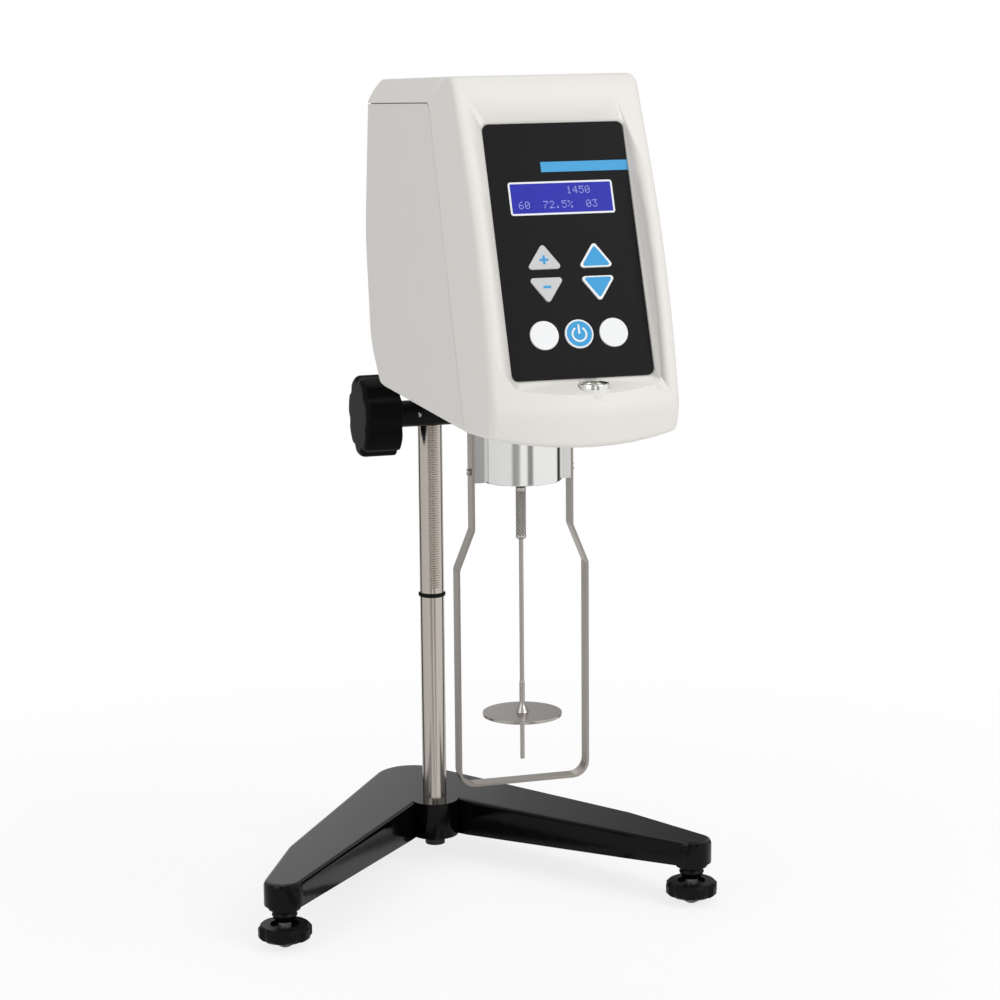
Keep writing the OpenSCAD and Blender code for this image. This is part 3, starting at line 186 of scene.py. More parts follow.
def set_stops(ramp, stops):
    """Sets a colour ramp to (position, colour) stops."""
    while len(ramp.elements) < len(stops):
        ramp.elements.new(1)
    for element, (position, colour) in zip(ramp.elements, stops):
        element.position = position
        element.color = (*colour, 1)


# %% [markdown]
# Paint is named by how it looks on a screen, such as E3E0DB, but light adds up in a linear scale.
# The next helper turns one into the other. A finish starts from a name, a base colour and the
# constants of the shader, and the parts that vary are wired in afterwards.

# %% Colours and the start of a finish
def paint(code):
    """A linear colour from six hexadecimal digits."""
    parts = [int(code[i:i + 2], 16) / 255 for i in (0, 2, 4)]
    return tuple(p / 12.92 if p <= 0.04045 else ((p + 0.055) / 1.055) ** 2.4 for p in parts)


class Finish:
    """A material with one Principled shader, and the Object coordinates in millimetres."""

    def __init__(self, name, colour, roughness, metallic=0.0, **constants):
        self.material = bpy.data.materials.new(name)
        self.material.use_nodes = True
        self.tree = self.material.node_tree
        self.shader = self.tree.nodes["Principled BSDF"]
        self.base = paint(colour) if isinstance(colour, str) else colour
        self.root = Wire(self.tree, None)
        self.put("Base Color", self.base)
        self.put("Roughness", roughness)
        self.put("Metallic", metallic)
        for key, value in constants.items():
            self.put(key.replace("_", " ").title().replace("Ior", "IOR"), value)
        place = self.root.add("ShaderNodeTexCoord", out="Object")
        self.place = self.root.add("ShaderNodeVectorMath", {"operation": "SCALE"},
                                   {"Vector": place, "Scale": 1 / MM})

    def put(self, socket, value):
        plug(self.tree, value, self.shader.inputs[socket])

    def noise(self, size, detail=2.0, stretch=(1, 1, 1), roughness=0.5):
        """Noise from 0 to 1 with lumps of about size millimetres, drawn out along an axis."""
        scale = tuple(1 / (size * s) for s in stretch)
        spot = self.root.add("ShaderNodeVectorMath", {"operation": "MULTIPLY"},
                             {0: self.place, 1: scale})
        return self.root.add("ShaderNodeTexNoise", {}, {
            "Vector": spot, "Scale": 1.0, "Detail": detail, "Roughness": roughness}, out="Fac")

    def mix(self, factor, first, second):
        """A colour between two colours."""
        colours = {0: factor, 6: first, 7: second}
        return self.root.add("ShaderNodeMix", {"data_type": "RGBA"}, colours, out=2)

    def bump(self, height, depth):
        """A bump of depth millimetres, added to any bump before it."""
        inputs = {"Height": height, "Strength": 1.0, "Distance": depth * MM}
        old = self.shader.inputs["Normal"].links
        if old:
            inputs["Normal"] = Wire(self.tree, old[0].from_socket)
        self.put("Normal", self.root.add("ShaderNodeBump", {}, inputs))

    def axis(self, letter):
        """One coordinate in millimetres."""
        return self.root.add("ShaderNodeSeparateXYZ", {}, {0: self.place}, out=letter.upper())

    def radius(self, x, y):
        """Distance in millimetres from an upright axis."""
        across = self.axis("x") - x
        along = self.axis("y") - y
        return (across * across + along * along).then("SQRT")

    def ramp(self, value, start, end, low=0.0, high=1.0):
        """low where value is start, high where it is end, and between them a straight rise."""
        return self.root.add("ShaderNodeMapRange", {}, {
            "Value": value, "From Min": start, "From Max": end, "To Min": low, "To Max": high})


def shade(colour, factor):
    """A colour made darker or lighter."""
    return tuple(min(1.0, c * factor) for c in colour)


print("housing white in linear light:", [round(c, 3) for c in paint("E3E0DB")])

# %% [markdown]
# ## Finishes
#
# The housing is moulded plastic with a fine spark texture: a dense, shallow grain that spreads the
# highlight. Its colour drifts very slightly, as pigment does. Softer rubber and satin knobs are
# the same idea with another grain.

# %% Moulded plastics
SPARK = 0.16  # how much roughness the grain adds from its hollows to its tops


def moulded(name, colour, roughness, grain, depth, drift=0.04, **constants):
    """Plastic with a grain of the given size and depth in millimetres."""
    finish = Finish(name, colour, roughness, **constants)
    cloud = finish.noise(60, 3)
    darker, lighter = shade(finish.base, 1 - drift), shade(finish.base, 1 + drift)
    finish.put("Base Color", finish.mix(cloud, darker, lighter))
    speck = finish.noise(grain, 2)
    finish.put("Roughness", speck * SPARK + (roughness - SPARK / 2))
    finish.bump(speck, depth)
    return finish.material


HOUSING = moulded("housing_plastic", "E3E0DB", 0.5, 0.35, 0.012, 0.015, specular_ior_level=0.3)
KNOB_BLACK = moulded("knob_black", "08080A", 0.5, 0.6, 0.02, 0.2, specular_ior_level=0.06)
SATIN_BLACK = moulded("satin_black_plastic", "070708", 0.36, 0.5, 0.015, 0.15,
                      specular_ior_level=0.12)
RUBBER = moulded("foot_rubber", "0C0C0D", 0.7, 0.8, 0.04, 0.1, specular_ior_level=0.12)
FRAME_BLACK = moulded("black_nylon", "19191B", 0.55, 0.4, 0.015, 0.1, specular_ior_level=0.35)
GEAR_NYLON = moulded("gear_nylon", "DED8C6", 0.5, 0.5, 0.01, 0.03)
KEY_GREY = moulded("key_grey", "C6C7C8", 0.45, 0.4, 0.006, 0.03, specular_ior_level=0.15)
KEY_WHITE = moulded("key_white", "EBECED", 0.45, 0.4, 0.006, 0.02, specular_ior_level=0.15)
KEY_BLUE = moulded("key_blue", "459ED4", 0.45, 0.4, 0.006, 0.04, specular_ior_level=0.1)
LCD_INK = moulded("display_dots", "9C9FE0", 0.5, 0.3, 0.002, 0.03, specular_ior_level=0.1)
BOARD_GREEN = moulded("board_green", "1E6845", 0.36, 0.6, 0.01, 0.12)
CHIP_BLACK = moulded("chip_black", "202124", 0.5, 0.3, 0.01, 0.1)
print("nodes in the housing's finish:", len(HOUSING.node_tree.nodes))

# %% [markdown]
# The base is cast iron under thick black enamel. The enamel flows over the casting, so its surface
# is glossy but never quite flat: a slow waviness bends the reflections, and a few dust nibs show.

# %% Enamel on the casting
def enamel(name, colour):
    finish = Finish(name, colour, 0.14, specular_ior_level=0.14)
    slow = finish.noise(9, 2)
    dust = finish.noise(0.6, 1)
    nibs = finish.ramp(dust, 0.78, 0.9)
    finish.put("Roughness", slow * 0.06 + 0.08)
    finish.put("Base Color", finish.mix(slow, shade(finish.base, 0.8), shade(finish.base, 1.3)))
    finish.bump(slow, 0.05)
    finish.bump(nibs, 0.02)
    return finish.material


ENAMEL = enamel("black_enamel", "040405")
print("nodes in the enamel:", len(ENAMEL.node_tree.nodes))

# %% [markdown]
# Metals are told apart by their working marks. A ground rod has fine lines along it, a brushed
# strip has long scratches, and a polished cup has almost none. Each is one noise that is stretched
# along the direction of the cut. Where a tooth was milled into a ground rod, the metal is duller,
# and it is painted a little lighter, which softens the shade between the teeth.

# %% Worked metals
ROD_LOW, ROD_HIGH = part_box("rack_rod")
ROD_Y = (ROD_LOW.y + ROD_HIGH.y) / 2 / MM
ROD_R = (ROD_HIGH.x - ROD_LOW.x) / 2 / MM
MILLED_EDGE = 0.25  # depth over which ground metal turns to milled, in millimetres
MILLED_ROUGH = 0.34  # roughness that milling adds


def metal(name, colour, roughness, lines=(1, 1, 1), size=0.4, depth=0.004, spread=0.12, cut=None):
    """Metal with working lines. cut is (x, y, radius) of a rod: what lies inside it was milled."""
    finish = Finish(name, colour, roughness, 1.0)
    scratch = finish.noise(size, 3, lines, 0.65)
    cloud = finish.noise(25, 2)
    gloss = scratch * spread + (roughness - spread / 2) + cloud * 0.04
    tint = finish.mix(scratch, shade(finish.base, 0.86), shade(finish.base, 1.06))
    if cut:
        x, y, radius = cut
        milled = finish.ramp(finish.radius(x, y), radius, radius - MILLED_EDGE)
        gloss = milled * MILLED_ROUGH + gloss
        # painted light: the milled teeth are coloured lighter, which evens out the shade between
        # them
        tint = finish.mix(milled, tint, shade(finish.base, 1.1))
    finish.put("Roughness", gloss)
    finish.put("Base Color", tint)
    finish.bump(scratch, depth)
    return finish.material


GROUND_ROD = metal("ground_rod_steel", "C2BAB2", 0.16, (1, 1, 60), 0.3, 0.002, 0.08,
                   cut=(0, ROD_Y, ROD_R - 0.1))
BRUSHED_STRIP = metal("brushed_strip_steel", "B0A9A2", 0.28, (1, 1, 40), 0.25)
TURNED = metal("turned_steel", "B2ADA8", 0.26, (8, 8, 1), 0.2, 0.0015, 0.08)
POLISHED = metal("polished_cup", "EBEBE9", 0.1, (20, 20, 1), 0.3, 0.001, 0.05)
ALUMINIUM = metal("milled_aluminium", "C3C5C8", 0.36, (30, 1, 1), 0.4)
ZINC = metal("zinc_plated_steel", "BCC0C4", 0.38, (1, 1, 1), 0.8)
BRASS = metal("brass", "C9A24C", 0.3, (8, 8, 1), 0.3)
COPPER = metal("enamelled_copper", "B5632D", 0.34, (1, 1, 8), 0.4)
print("rod radius:", round(ROD_R, 2), "mm")

# %% [markdown]
# ## Smooth copies of the built parts
#
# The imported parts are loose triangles. A merged copy of one, with its sharp edges marked and a
# small rounded edge, catches the light as a moulded or machined part does. The copy rides on the
# same body and stands for the part, whose own mesh isn't touched.

# %% Copying, rounding and riding
WELD = 2e-6  # points closer than this are one point, in metres
SHARP = 32  # edges sharper than this many degrees are rounded
FLAT = 0.6  # faces that differ by less than this many degrees are joined


def link(name, mesh):
    piece = bpy.data.objects.new(name, mesh)
    bpy.context.scene.collection.objects.link(piece)
    return piece


def baked(piece):
    """Applies a piece's modifiers to its mesh."""
    graph = bpy.context.evaluated_depsgraph_get()
    graph.update()
    mesh = bpy.data.meshes.new_from_object(piece.evaluated_get(graph), depsgraph=graph)
    piece.modifiers.clear()
    old = piece.data
    piece.data = mesh
    if old.users == 0:
        bpy.data.batch_remove([old])
    return piece


def rounded(piece, width, angle=SHARP):
    """Rounds the sharp edges of a piece by width millimetres and smooths its shading."""
    mesh = piece.data
    mesh.shade_smooth()
    if width:
        bevel = piece.modifiers.new("edges", "BEVEL")
        bevel.width = width * MM
        bevel.segments = 2
        bevel.limit_method = "ANGLE"
        bevel.angle_limit = radians(angle)
        bevel.use_clamp_overlap = True
        baked(piece)
    piece.data.set_sharp_from_angle(angle=radians(angle + 8))
    weigh = piece.modifiers.new("shading", "WEIGHTED_NORMAL")
    weigh.keep_sharp = True
    return baked(piece)


def merged_copy(node):
    """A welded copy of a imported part's mesh."""
    mesh = frame["nodes"][node].data.copy()
    mesh.materials.clear()
    form = bmesh.new()
    form.from_mesh(mesh)
    bmesh.ops.remove_doubles(form, verts=form.verts, dist=WELD)
    bmesh.ops.dissolve_limit(form, angle_limit=radians(FLAT), verts=form.verts, edges=form.edges)
    form.to_mesh(mesh)
    form.free()
    mesh.name = node + "_dressed"
    return link(node + "_dressed", mesh)


def settle(piece, node, *materials):
    """Gives a piece its materials and its body, and hides the part it stands for."""
    if materials:
        piece.data.materials.clear()
        for material in materials:
            piece.data.materials.append(material)
    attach(piece, BODY_OF[node])
    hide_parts(node)
    return piece


def true_round(piece, y, radius):
    """Gives the outside of an upright rod the exact normals of its cylinder."""
    close = 0.02  # how near a face has to be to the cylinder, in millimetres and as a slope
    mesh, normals = piece.data, []
    for face in mesh.polygons:
        for corner in face.loop_indices:
            spot = mesh.vertices[mesh.loops[corner].vertex_index].co
            out = Vector((spot.x, spot.y - y * MM, 0))
            plain = abs(face.normal.z) < close and out.length > (radius - close) * MM
            normals.append(out.normalized() if plain else face.normal.copy())
    mesh.normals_split_custom_set(normals)
    return piece


def dress(node, material, edge):
    """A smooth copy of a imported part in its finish, with its edges rounded by edge millimetres."""
    return settle(rounded(merged_copy(node), edge), node, material)


# %% [markdown]
# ## Shapes made by loops
#
# Most finer pieces are loops of points joined one after another: a lathe turns a profile round an
# axis, a knob is a lathe whose radius has hollows in it, and a sheet is one loop given a
# thickness.

# %% Lofting loops
def loft(form, loops, closed_ends=True):
    """Joins loops of points, one after another, and closes the two ends."""
    rows = [[form.verts.new(point) for point in loop] for loop in loops]
    count = len(rows[0])
    for first, second in zip(rows, rows[1:]):
        for i in range(count):
            j = (i + 1) % count
            form.faces.new((first[i], first[j], second[j], second[i]))
    if closed_ends:
        form.faces.new(list(reversed(rows[0])))
        form.faces.new(rows[-1])


def formed(name, form):
    """Turns a bmesh into a linked piece."""
    bmesh.ops.recalc_face_normals(form, faces=form.faces)
    mesh = bpy.data.meshes.new(name)
    form.to_mesh(mesh)
    form.free()
    return link(name, mesh)


def turned_loops(profile, centre, count=96, swell=None):
    """Loops of a lathe about an upright axis: the profile is (radius, height) in millimetres."""
    loops = []
    for radius, height in profile:
        loop = []
        for i in range(count):
            turn = 2 * pi * i / count
            reach = (radius + (swell(turn, height) if swell else 0)) * MM
            loop.append(Vector((centre[0] + reach * cos(turn), centre[1] + reach * sin(turn),
                                height * MM)))
        loops.append(loop)
    return loops


def lathe(name, profile, centre, count=96, swell=None, closed_ends=True):
    form = bmesh.new()
    loft(form, turned_loops(profile, centre, count, swell), closed_ends)
    return formed(name, form)


# %% [markdown]
# ## The stand
#
# The casting, its feet, the rod and the carriage are machined or cast shapes, which the packed
# parts already have. They need their finishes and soft edges, in millimetres. A ground rod mirrors
# the room, so a small error in its shading shows: its normals are set to those of a true cylinder.

# %% Plain parts
PLAIN = {
    "base_casting": (ENAMEL, 0.8),
    "rear_foot_pad": (RUBBER, 0.4),
    "rod_screw": (FRAME_BLACK, 0.3),
    "rod_washer": (FRAME_BLACK, 0.2),
    "levelling_stud_left": (ZINC, 0.2),
    "levelling_stud_right": (ZINC, 0.2),
    "levelling_wheel_left": (SATIN_BLACK, 0.5),
    "levelling_wheel_right": (SATIN_BLACK, 0.5),
    "lock_nuts": (SATIN_BLACK, 0.4),
    "clamp_body": (SATIN_BLACK, 0.6),
    "tension_insert": (BRASS, 0.1),
    "tension_screw": (TURNED, 0.2),
    "pinion_shaft": (TURNED, 0.0),
    "shaft_screw": (TURNED, 0.1),
    "clamp_screw": (TURNED, 0.1),
    "mounting_handle": (TURNED, 0.3),
    "front_cover": (HOUSING, 0.0),
    "bottom_plate": (ALUMINIUM, 0.3),
    "pillars": (ALUMINIUM, 0.2),
    "motor_plate": (ALUMINIUM, 0.3),
    "motor_pinion": (BRASS, 0.0),
    "drive_gear": (GEAR_NYLON, 0.0),
    "transducer": (FRAME_BLACK, 0.4),
    "pivot_shaft": (TURNED, 0.1),
    "guard_brackets": (POLISHED, 0.3),
    "guard_leg": (BRUSHED_STRIP, 0.2),
    "guard_screws": (TURNED, 0.1),
    "spindle": (TURNED, 0.15),
    "circuit_board": (BOARD_GREEN, 0.1),
    "display_module": (FRAME_BLACK, 0.1),
    "key_speed_up": (KEY_GREY, 0.15),
    "key_speed_down": (KEY_GREY, 0.15),
    "key_spindle_up": (KEY_WHITE, 0.15),
    "key_spindle_down": (KEY_WHITE, 0.15),
    "key_motor": (KEY_WHITE, 0.15),
    "key_power": (KEY_WHITE, 0.15),
    "key_range": (KEY_WHITE, 0.15),
    "power_inlet": (FRAME_BLACK, 0.3),
    "cover_screws": (ZINC, 0.2),
}
settle(true_round(rounded(merged_copy("rack_rod"), 0.0), ROD_Y, ROD_R), "rack_rod", GROUND_ROD)

for part, (material, edge) in PLAIN.items():
    dress(part, material, edge)
print("plain parts dressed:", len(PLAIN) + 1)

# %% [markdown]
# The rear cover's tongue lies at the bottom of the groove between the two covers, where little
# light reaches, and that shade is painted into the cover's colour as a dark grey. The groove runs
# up the slanted seam and back along the crease, so two signed distances find it in the side view.

# %% Rear cover
HEAD_Z = 334  # underside of the head
SEAM_LEAN, SEAM_FOOT = radians(20.6), 71.5  # lean of the seam, and its foot ahead of the spindle
CREASE_Z, CREASE_Y, CREASE_FALL = 180.03, 50, 0.0484  # height of the crease, where, and its slope
GROOVE = 0.5  # how far behind the seam the darker shade begins, in millimetres


def seamed_housing():
    finish = Finish("housing_plastic_rear", "DFDCD8", 0.5, specular_ior_level=0.3)
    y, z = finish.axis("y") - SPINDLE_Y / MM, finish.axis("z") - HEAD_Z
    ahead = (z * tan(SEAM_LEAN) - SEAM_FOOT - y) * cos(SEAM_LEAN)
    above = z - CREASE_Z + (y + CREASE_Y) * CREASE_FALL
    cloud, speck = finish.noise(60, 3), finish.noise(0.35, 2)
    plastic = finish.mix(cloud, shade(finish.base, 0.985), shade(finish.base, 1.015))
    # painted shade: inside the groove the cover is coloured dark grey, for the shade that falls
    # there
    groove = ahead.then("MAXIMUM", above) > -GROOVE
    finish.put("Base Color", finish.mix(groove, plastic, paint("6E6B67")))
    finish.put("Roughness", speck * SPARK + 0.42)
    finish.bump(speck, 0.012)
    return finish.material


rear_cover = dress("rear_cover", seamed_housing(), 0.0)
print("rear cover faces:", len(rear_cover.data.polygons))

# %% [markdown]
# ## Hand knobs
#
# A hand knob is moulded with shallow hollows for the fingers and a soft outer edge. Its outline is
# the smaller of a circle and the hollows' circles, smoothed a little, and the edge is a quarter
# circle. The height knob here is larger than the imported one, which is 48.6 mm across and 20.3 mm
# thick. The clamp knob has its packed size.

# %% Knobs
LOBES = 7
HUB = 0.23  # radius of a knob's hub, as a share of its size
FLAT_FACE = 0.62  # the flat middle of a knob's face, as a share of its radius


def lobed_outline(size, count=280):
    """Radius of a lobed knob at count steps round it, in millimetres."""
    centre, hollow = 0.56 * size, 0.11 * size
    step = 2 * pi / LOBES
    radii = []
    for i in range(count):
        lean = (2 * pi * i / count) % step - step / 2
        side = centre * sin(lean)
        cut = centre * cos(lean) - (hollow ** 2 - side ** 2) ** 0.5 if abs(side) < hollow else size
        radii.append(min(size / 2, cut))
    for _ in range(3):
        radii = [sum(radii[(i + k) % count] for k in range(-2, 3)) / 5 for i in range(count)]
    return radii


def knob(node, size, thickness, soft, face, inward, axis, bore=3.0):
    """A lobed knob: face is the x of its outer face, and its shaft comes from the side inward."""
    radii = lobed_outline(size)
    turns = [2 * pi * i / len(radii) for i in range(len(radii))]

    def loop(depth, reach):
        return [Vector((face + inward * depth * MM, axis[0] + reach(i) * MM * sin(t),
                        axis[1] - inward * reach(i) * MM * cos(t))) for i, t in enumerate(turns)]

    loops = [loop(0, lambda i: radii[i] * FLAT_FACE)]
    for angle in range(90, -1, -15):
        lean = radians(angle)
        inset = soft * (1 - cos(lean))
        loops.append(loop(soft * (1 - sin(lean)), lambda i, inset=inset: radii[i] - inset))
    back_soft, hollow = 1.2, thickness - 3
    for k in range(5):
        lean = radians(22.5 * k)
        inset = back_soft * (1 - cos(lean))
        loops.append(loop(thickness - back_soft * (1 - sin(lean)),
                          lambda i, inset=inset: radii[i] - inset))
    for depth, reach in ((thickness, HUB * size), (hollow, HUB * size), (hollow, bore), (4, bore)):
        loops.append(loop(depth, lambda i, reach=reach: reach))
    form = bmesh.new()
    loft(form, loops)
    piece = formed(node + "_moulded", form)
    return settle(rounded(piece, 0, 40), node, KNOB_BLACK)


height_knob = knob("height_knob", size=52.4, thickness=23.8, soft=3.8, face=-0.0515, inward=1,
                   axis=(0.111752, 0.3045))
clamp_knob = knob("clamp_knob", size=26, thickness=14, soft=2.2, face=0.027, inward=-1,
                  axis=(0.086412, 0.36005))
print("knob faces:", len(height_knob.data.polygons), len(clamp_knob.data.polygons))

# %% [markdown]
# ## Cup, stop ring, coupling and bubble level
#
# The pivot cup is turned and polished, and the stop ring is a rubber cord that grips the rod. Both
# come from a lathe whose profile comes back to its start. The ring stands 1 mm off the rod here,
# and 2 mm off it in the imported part.

# %% Pivot cup and stop ring
AXIS = (0.0, SPINDLE_Y)
CUP_R, CUP_WALL, CUP_HOLE, CUP_LOW, CUP_TOP, CUP_FLOOR = 24, 3, 5.5, 293, 337, 297
CUP = [(CUP_HOLE, CUP_LOW), (CUP_R - 0.8, CUP_LOW), (23.6, 293.1), (23.9, 293.4), (CUP_R, 293.8),
       (CUP_R, CUP_TOP), (CUP_R - CUP_WALL, CUP_TOP), (CUP_R - CUP_WALL, CUP_FLOOR),
       (CUP_HOLE, CUP_FLOOR), (CUP_HOLE, CUP_LOW)]


def ring_piece(name, profile, centre, count=128):
    """A lathe whose profile comes back to its start, as a ring's does."""
    return lathe(name, profile, centre, count, closed_ends=False)


def welded(piece):
    """Merges the points where a profile's end meets its start."""
    form = bmesh.new()
    form.from_mesh(piece.data)
    bmesh.ops.remove_doubles(form, verts=form.verts, dist=WELD)
    bmesh.ops.recalc_face_normals(form, faces=form.faces)
    form.to_mesh(piece.data)
    form.free()
    return piece


settle(rounded(welded(ring_piece("pivot_cup_turned", CUP, AXIS)), 0, 40), "pivot_cup", POLISHED)

ROD = (0.0, ROD_Y * MM)
RING_R, RING_Z, RING_OUT, RING_UP = 7.95, 182, 1.0, 1.4
cord = [(RING_R + RING_OUT * cos(radians(a)), RING_Z + RING_UP * sin(radians(a)))
        for a in range(0, 361, 20)]
settle(rounded(welded(ring_piece("stop_ring_cord", cord, ROD)), 0, 60), "stop_ring", RUBBER)
print("points round the cup's profile:", len(CUP), "and the ring's:", len(cord))

# %% [markdown]
# The coupling nut is knurled: two sets of grooves wind round it in opposite ways and leave small
# diamonds. The lathe asks a function how deep the grooves are at each point. The grooves' bottoms
# have painted shade: the finish colours them dark where the radius is smaller.

# %% Coupling nut
KNURL_FROM, KNURL_TO, KNURL_DEEP = 260, 286.5, 0.55
KNURL_TURN, KNURL_RISE = 4.5, 1.35  # how fast a groove goes round, and up
NUT_R, NUT_LOW, NUT_HIGH, NUT_EDGE = 3, 258.5, 288.3, 0.6


def knurl(turn, height):
    """Depth of two crossing sets of grooves on the coupling nut."""
    if not KNURL_FROM < height < KNURL_TO:
        return 0
    first = abs(sin(KNURL_TURN * turn + height * KNURL_RISE))
    second = abs(sin(KNURL_TURN * turn - height * KNURL_RISE))
    return -KNURL_DEEP * (1 - min(first, second)) ** 3


STEP = 0.2  # height between two loops of the nut, in millimetres
steps = [(NUT_R - NUT_EDGE, NUT_LOW - NUT_EDGE), (NUT_R, NUT_LOW)]
steps += [(NUT_R, NUT_LOW + STEP * i) for i in range(1, 148)]
steps += [(NUT_R, NUT_HIGH), (NUT_R - NUT_EDGE, NUT_HIGH + NUT_EDGE)]


def knurled_steel():
    finish = Finish("knurled_steel", "B9B4AE", 0.3, 1.0)
    # painted shade: the bottoms of the knurl's grooves are coloured dark brown-grey
    deep = finish.ramp(finish.radius(0, SPINDLE_Y / MM), NUT_R - 0.04, NUT_R - 0.28)
    wear = finish.noise(0.8, 3)
    worn = finish.mix(wear, paint("A8A29C"), paint("D2CEC9"))
    finish.put("Base Color", finish.mix(deep, worn, paint("2E2B28")))
    finish.put("Roughness", wear * 0.2 + 0.2)
    return finish.material


nut = rounded(lathe("coupling_nut_knurled", steps, AXIS, 96, knurl), 0, 50)
settle(nut, "coupling_nut", knurled_steel())
print("nut faces:", len(nut.data.polygons))

# %% [markdown]
# The bubble level is a round glass vial in a bright ring. The circle that it is read against is a
# ring of colour about the vial's axis, and the bubble stands a little beside that axis, so two
# distances drive the whole finish. The bright ring is 0.35 mm narrower all round than the packed
# one and starts 2 mm higher, and a seat of housing plastic stands round it.

# %% Bubble level
LEVEL = (3.4, SPINDLE_Y / MM - 124.5)
BUBBLE_R, CIRCLE_R, VIAL_R = 2.1, 3.1, 6.45


def vial_glass():
    finish = Finish("level_vial_glass", "A9B58A", 0.06, coat_weight=1.0, coat_roughness=0.02)
    reach = finish.radius(*LEVEL)
    haze = finish.noise(3, 2)
    shift = finish.radius(LEVEL[0] - 0.9, LEVEL[1] + 0.7)
    bubble = (shift < BUBBLE_R) * 0.75
    edge = (shift > BUBBLE_R - 0.35) * (shift < BUBBLE_R)
    circle = (reach > CIRCLE_R) * (reach < CIRCLE_R + 0.4)
    tint = finish.mix(haze, paint("7E8B62"), paint("A3AF86"))
    tint = finish.mix(bubble, tint, paint("E9EEDC"))
    tint = finish.mix(edge, tint, paint("3B4030"))
    finish.put("Base Color", finish.mix(circle, tint, paint("141414")))
    finish.put("Roughness", haze * 0.05 + 0.04)
    return finish.material


RIM = [(VIAL_R, 363.6), (8.3, 363.6), (8.3, 366.5), (8.0, 366.9), (VIAL_R, 366.3), (VIAL_R, 363.6)]
SEAT = [(6.5, 357.0), (8.85, 357.0), (8.85, 363.9), (8.6, 364.2), (8.32, 364.2), (8.32, 361.6),
        (6.5, 361.6), (6.5, 357.0)]
DOME_Z, DOME_RISE = 365.6, 0.55
SPOT = (LEVEL[0] * MM, LEVEL[1] * MM)
settle(rounded(welded(ring_piece("level_rim", RIM, SPOT)), 0, 40), "level_ring", POLISHED)
seat = rounded(welded(ring_piece("level_seat", SEAT, SPOT)), 0, 50)
seat.data.materials.append(HOUSING)
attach(seat, BODY_OF["front_cover"])
dome = [(8.65, 357.2), (8.65, 361.6), (VIAL_R, 361.6), (VIAL_R, DOME_Z)]
dome += [(VIAL_R * cos(radians(a)), DOME_Z + DOME_RISE * sin(radians(a)))
         for a in range(15, 90, 15)]
dome += [(0.2, DOME_Z + DOME_RISE)]
settle(rounded(lathe("level_vial_domed", dome, SPOT, 96), 0, 40), "level_vial", vial_glass())
print("top of the vial:", round(DOME_Z + DOME_RISE, 2), "mm")

# %% [markdown]
# ## Keypad panel
#
# The panel is one printed film. Its blue band is a mask in the panel's own frame: across is x, and
# down is measured along the slope from the film's top edge. The display's white border uses the
# distance to a rounded box in the same frame.

# %% The panel's frame and masks
TILT = radians(22.2)
PANEL_TOP = Vector((0, SPINDLE_Y - 0.0635, 0.50233))
PANEL = Matrix.Translation(PANEL_TOP) @ Matrix.Rotation(-TILT, 4, "X")
BAND_LEFT, BAND_TOP, BAND_FOOT = -9.8, 22.2, 28.0
WINDOW_W, WINDOW_H, WINDOW_CORNER, WINDOW_DOWN = 59.7, 19.0, 1.6, 42.7
BORDER = 1.1


def down_the_slope(finish):
    """Distance in millimetres down the panel from its top edge."""
    back = (finish.axis("y") - PANEL_TOP.y / MM) * sin(TILT)
    return 0 - (back + (finish.axis("z") - PANEL_TOP.z / MM) * cos(TILT))


def box_distance(across, along, width, height, corner):
    """Signed distance to a rounded box in the middle of across and along."""
    dx = (abs(across) - (width / 2 - corner)).then("MAXIMUM", 0.0)
    dy = (abs(along) - (height / 2 - corner)).then("MAXIMUM", 0.0)
    return (dx * dx + dy * dy).then("SQRT") - corner


def panel_film():
    finish = Finish("panel_film", "121213", 0.42, specular_ior_level=0.06)
    across, down = finish.axis("x"), down_the_slope(finish)
    grain = finish.noise(0.3, 2)
    cloud = finish.noise(30, 2)
    black = finish.mix(cloud, paint("111112"), paint("151516"))
    band = (across > BAND_LEFT) * (down > BAND_TOP) * (down < BAND_FOOT)
    finish.put("Base Color", finish.mix(band, black, paint("4FA2D6")))
    finish.put("Roughness", grain * 0.1 + 0.34)
    finish.bump(grain, 0.006)
    return finish.material


def display_glass():
    finish = Finish("display_glass", "2A2FA8", 0.3, specular_ior_level=0.08)
    across, down = finish.axis("x"), down_the_slope(finish)
    edge = box_distance(across, down - WINDOW_DOWN, WINDOW_W, WINDOW_H, WINDOW_CORNER)
    rows = (down * 1.6).then("FRACT")
    columns = (across * 1.8).then("FRACT")
    cells = (rows > 0.12) * (columns > 0.12)
    field = finish.mix(cells * 0.5 + finish.noise(12, 2) * 0.4, paint("1E2294"), paint("2A30B2"))
    finish.put("Base Color", finish.mix(edge > -BORDER, field, paint("E8EAEE")))
    finish.put("Roughness", finish.noise(0.4, 2) * 0.08 + 0.2)
    return finish.material


dress("keypad_panel", panel_film(), 0.0)
dress("display_window", display_glass(), 0.1)
print("the panel leans back by", round(TILT * 180 / pi, 1), "degrees")

# %% [markdown]
# The marks on the keys and the display's dots are sheets a few hundredths of a millimetre thick,
# which lie on the caps and the glass. Each one rides with its own key.

# %% Sheets on the panel
def sheet(name, loops, near, far, node, material):
    """Flat shapes in the panel's frame: each loop is (across, down) in mm, between two depths."""
    form = bmesh.new()
    for loop in loops:
        loft(form, [[PANEL @ Vector((x * MM, depth * MM, -down * MM)) for x, down in loop]
                    for depth in (near, far)])
    piece = formed(name, form)
    piece.data.materials.append(material)
    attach(piece, BODY_OF[node])
    return piece


# %% [markdown]
# A mark is one or more closed loops of points. Round corners and circles are arcs, and everything
# else is a straight line from point to point.

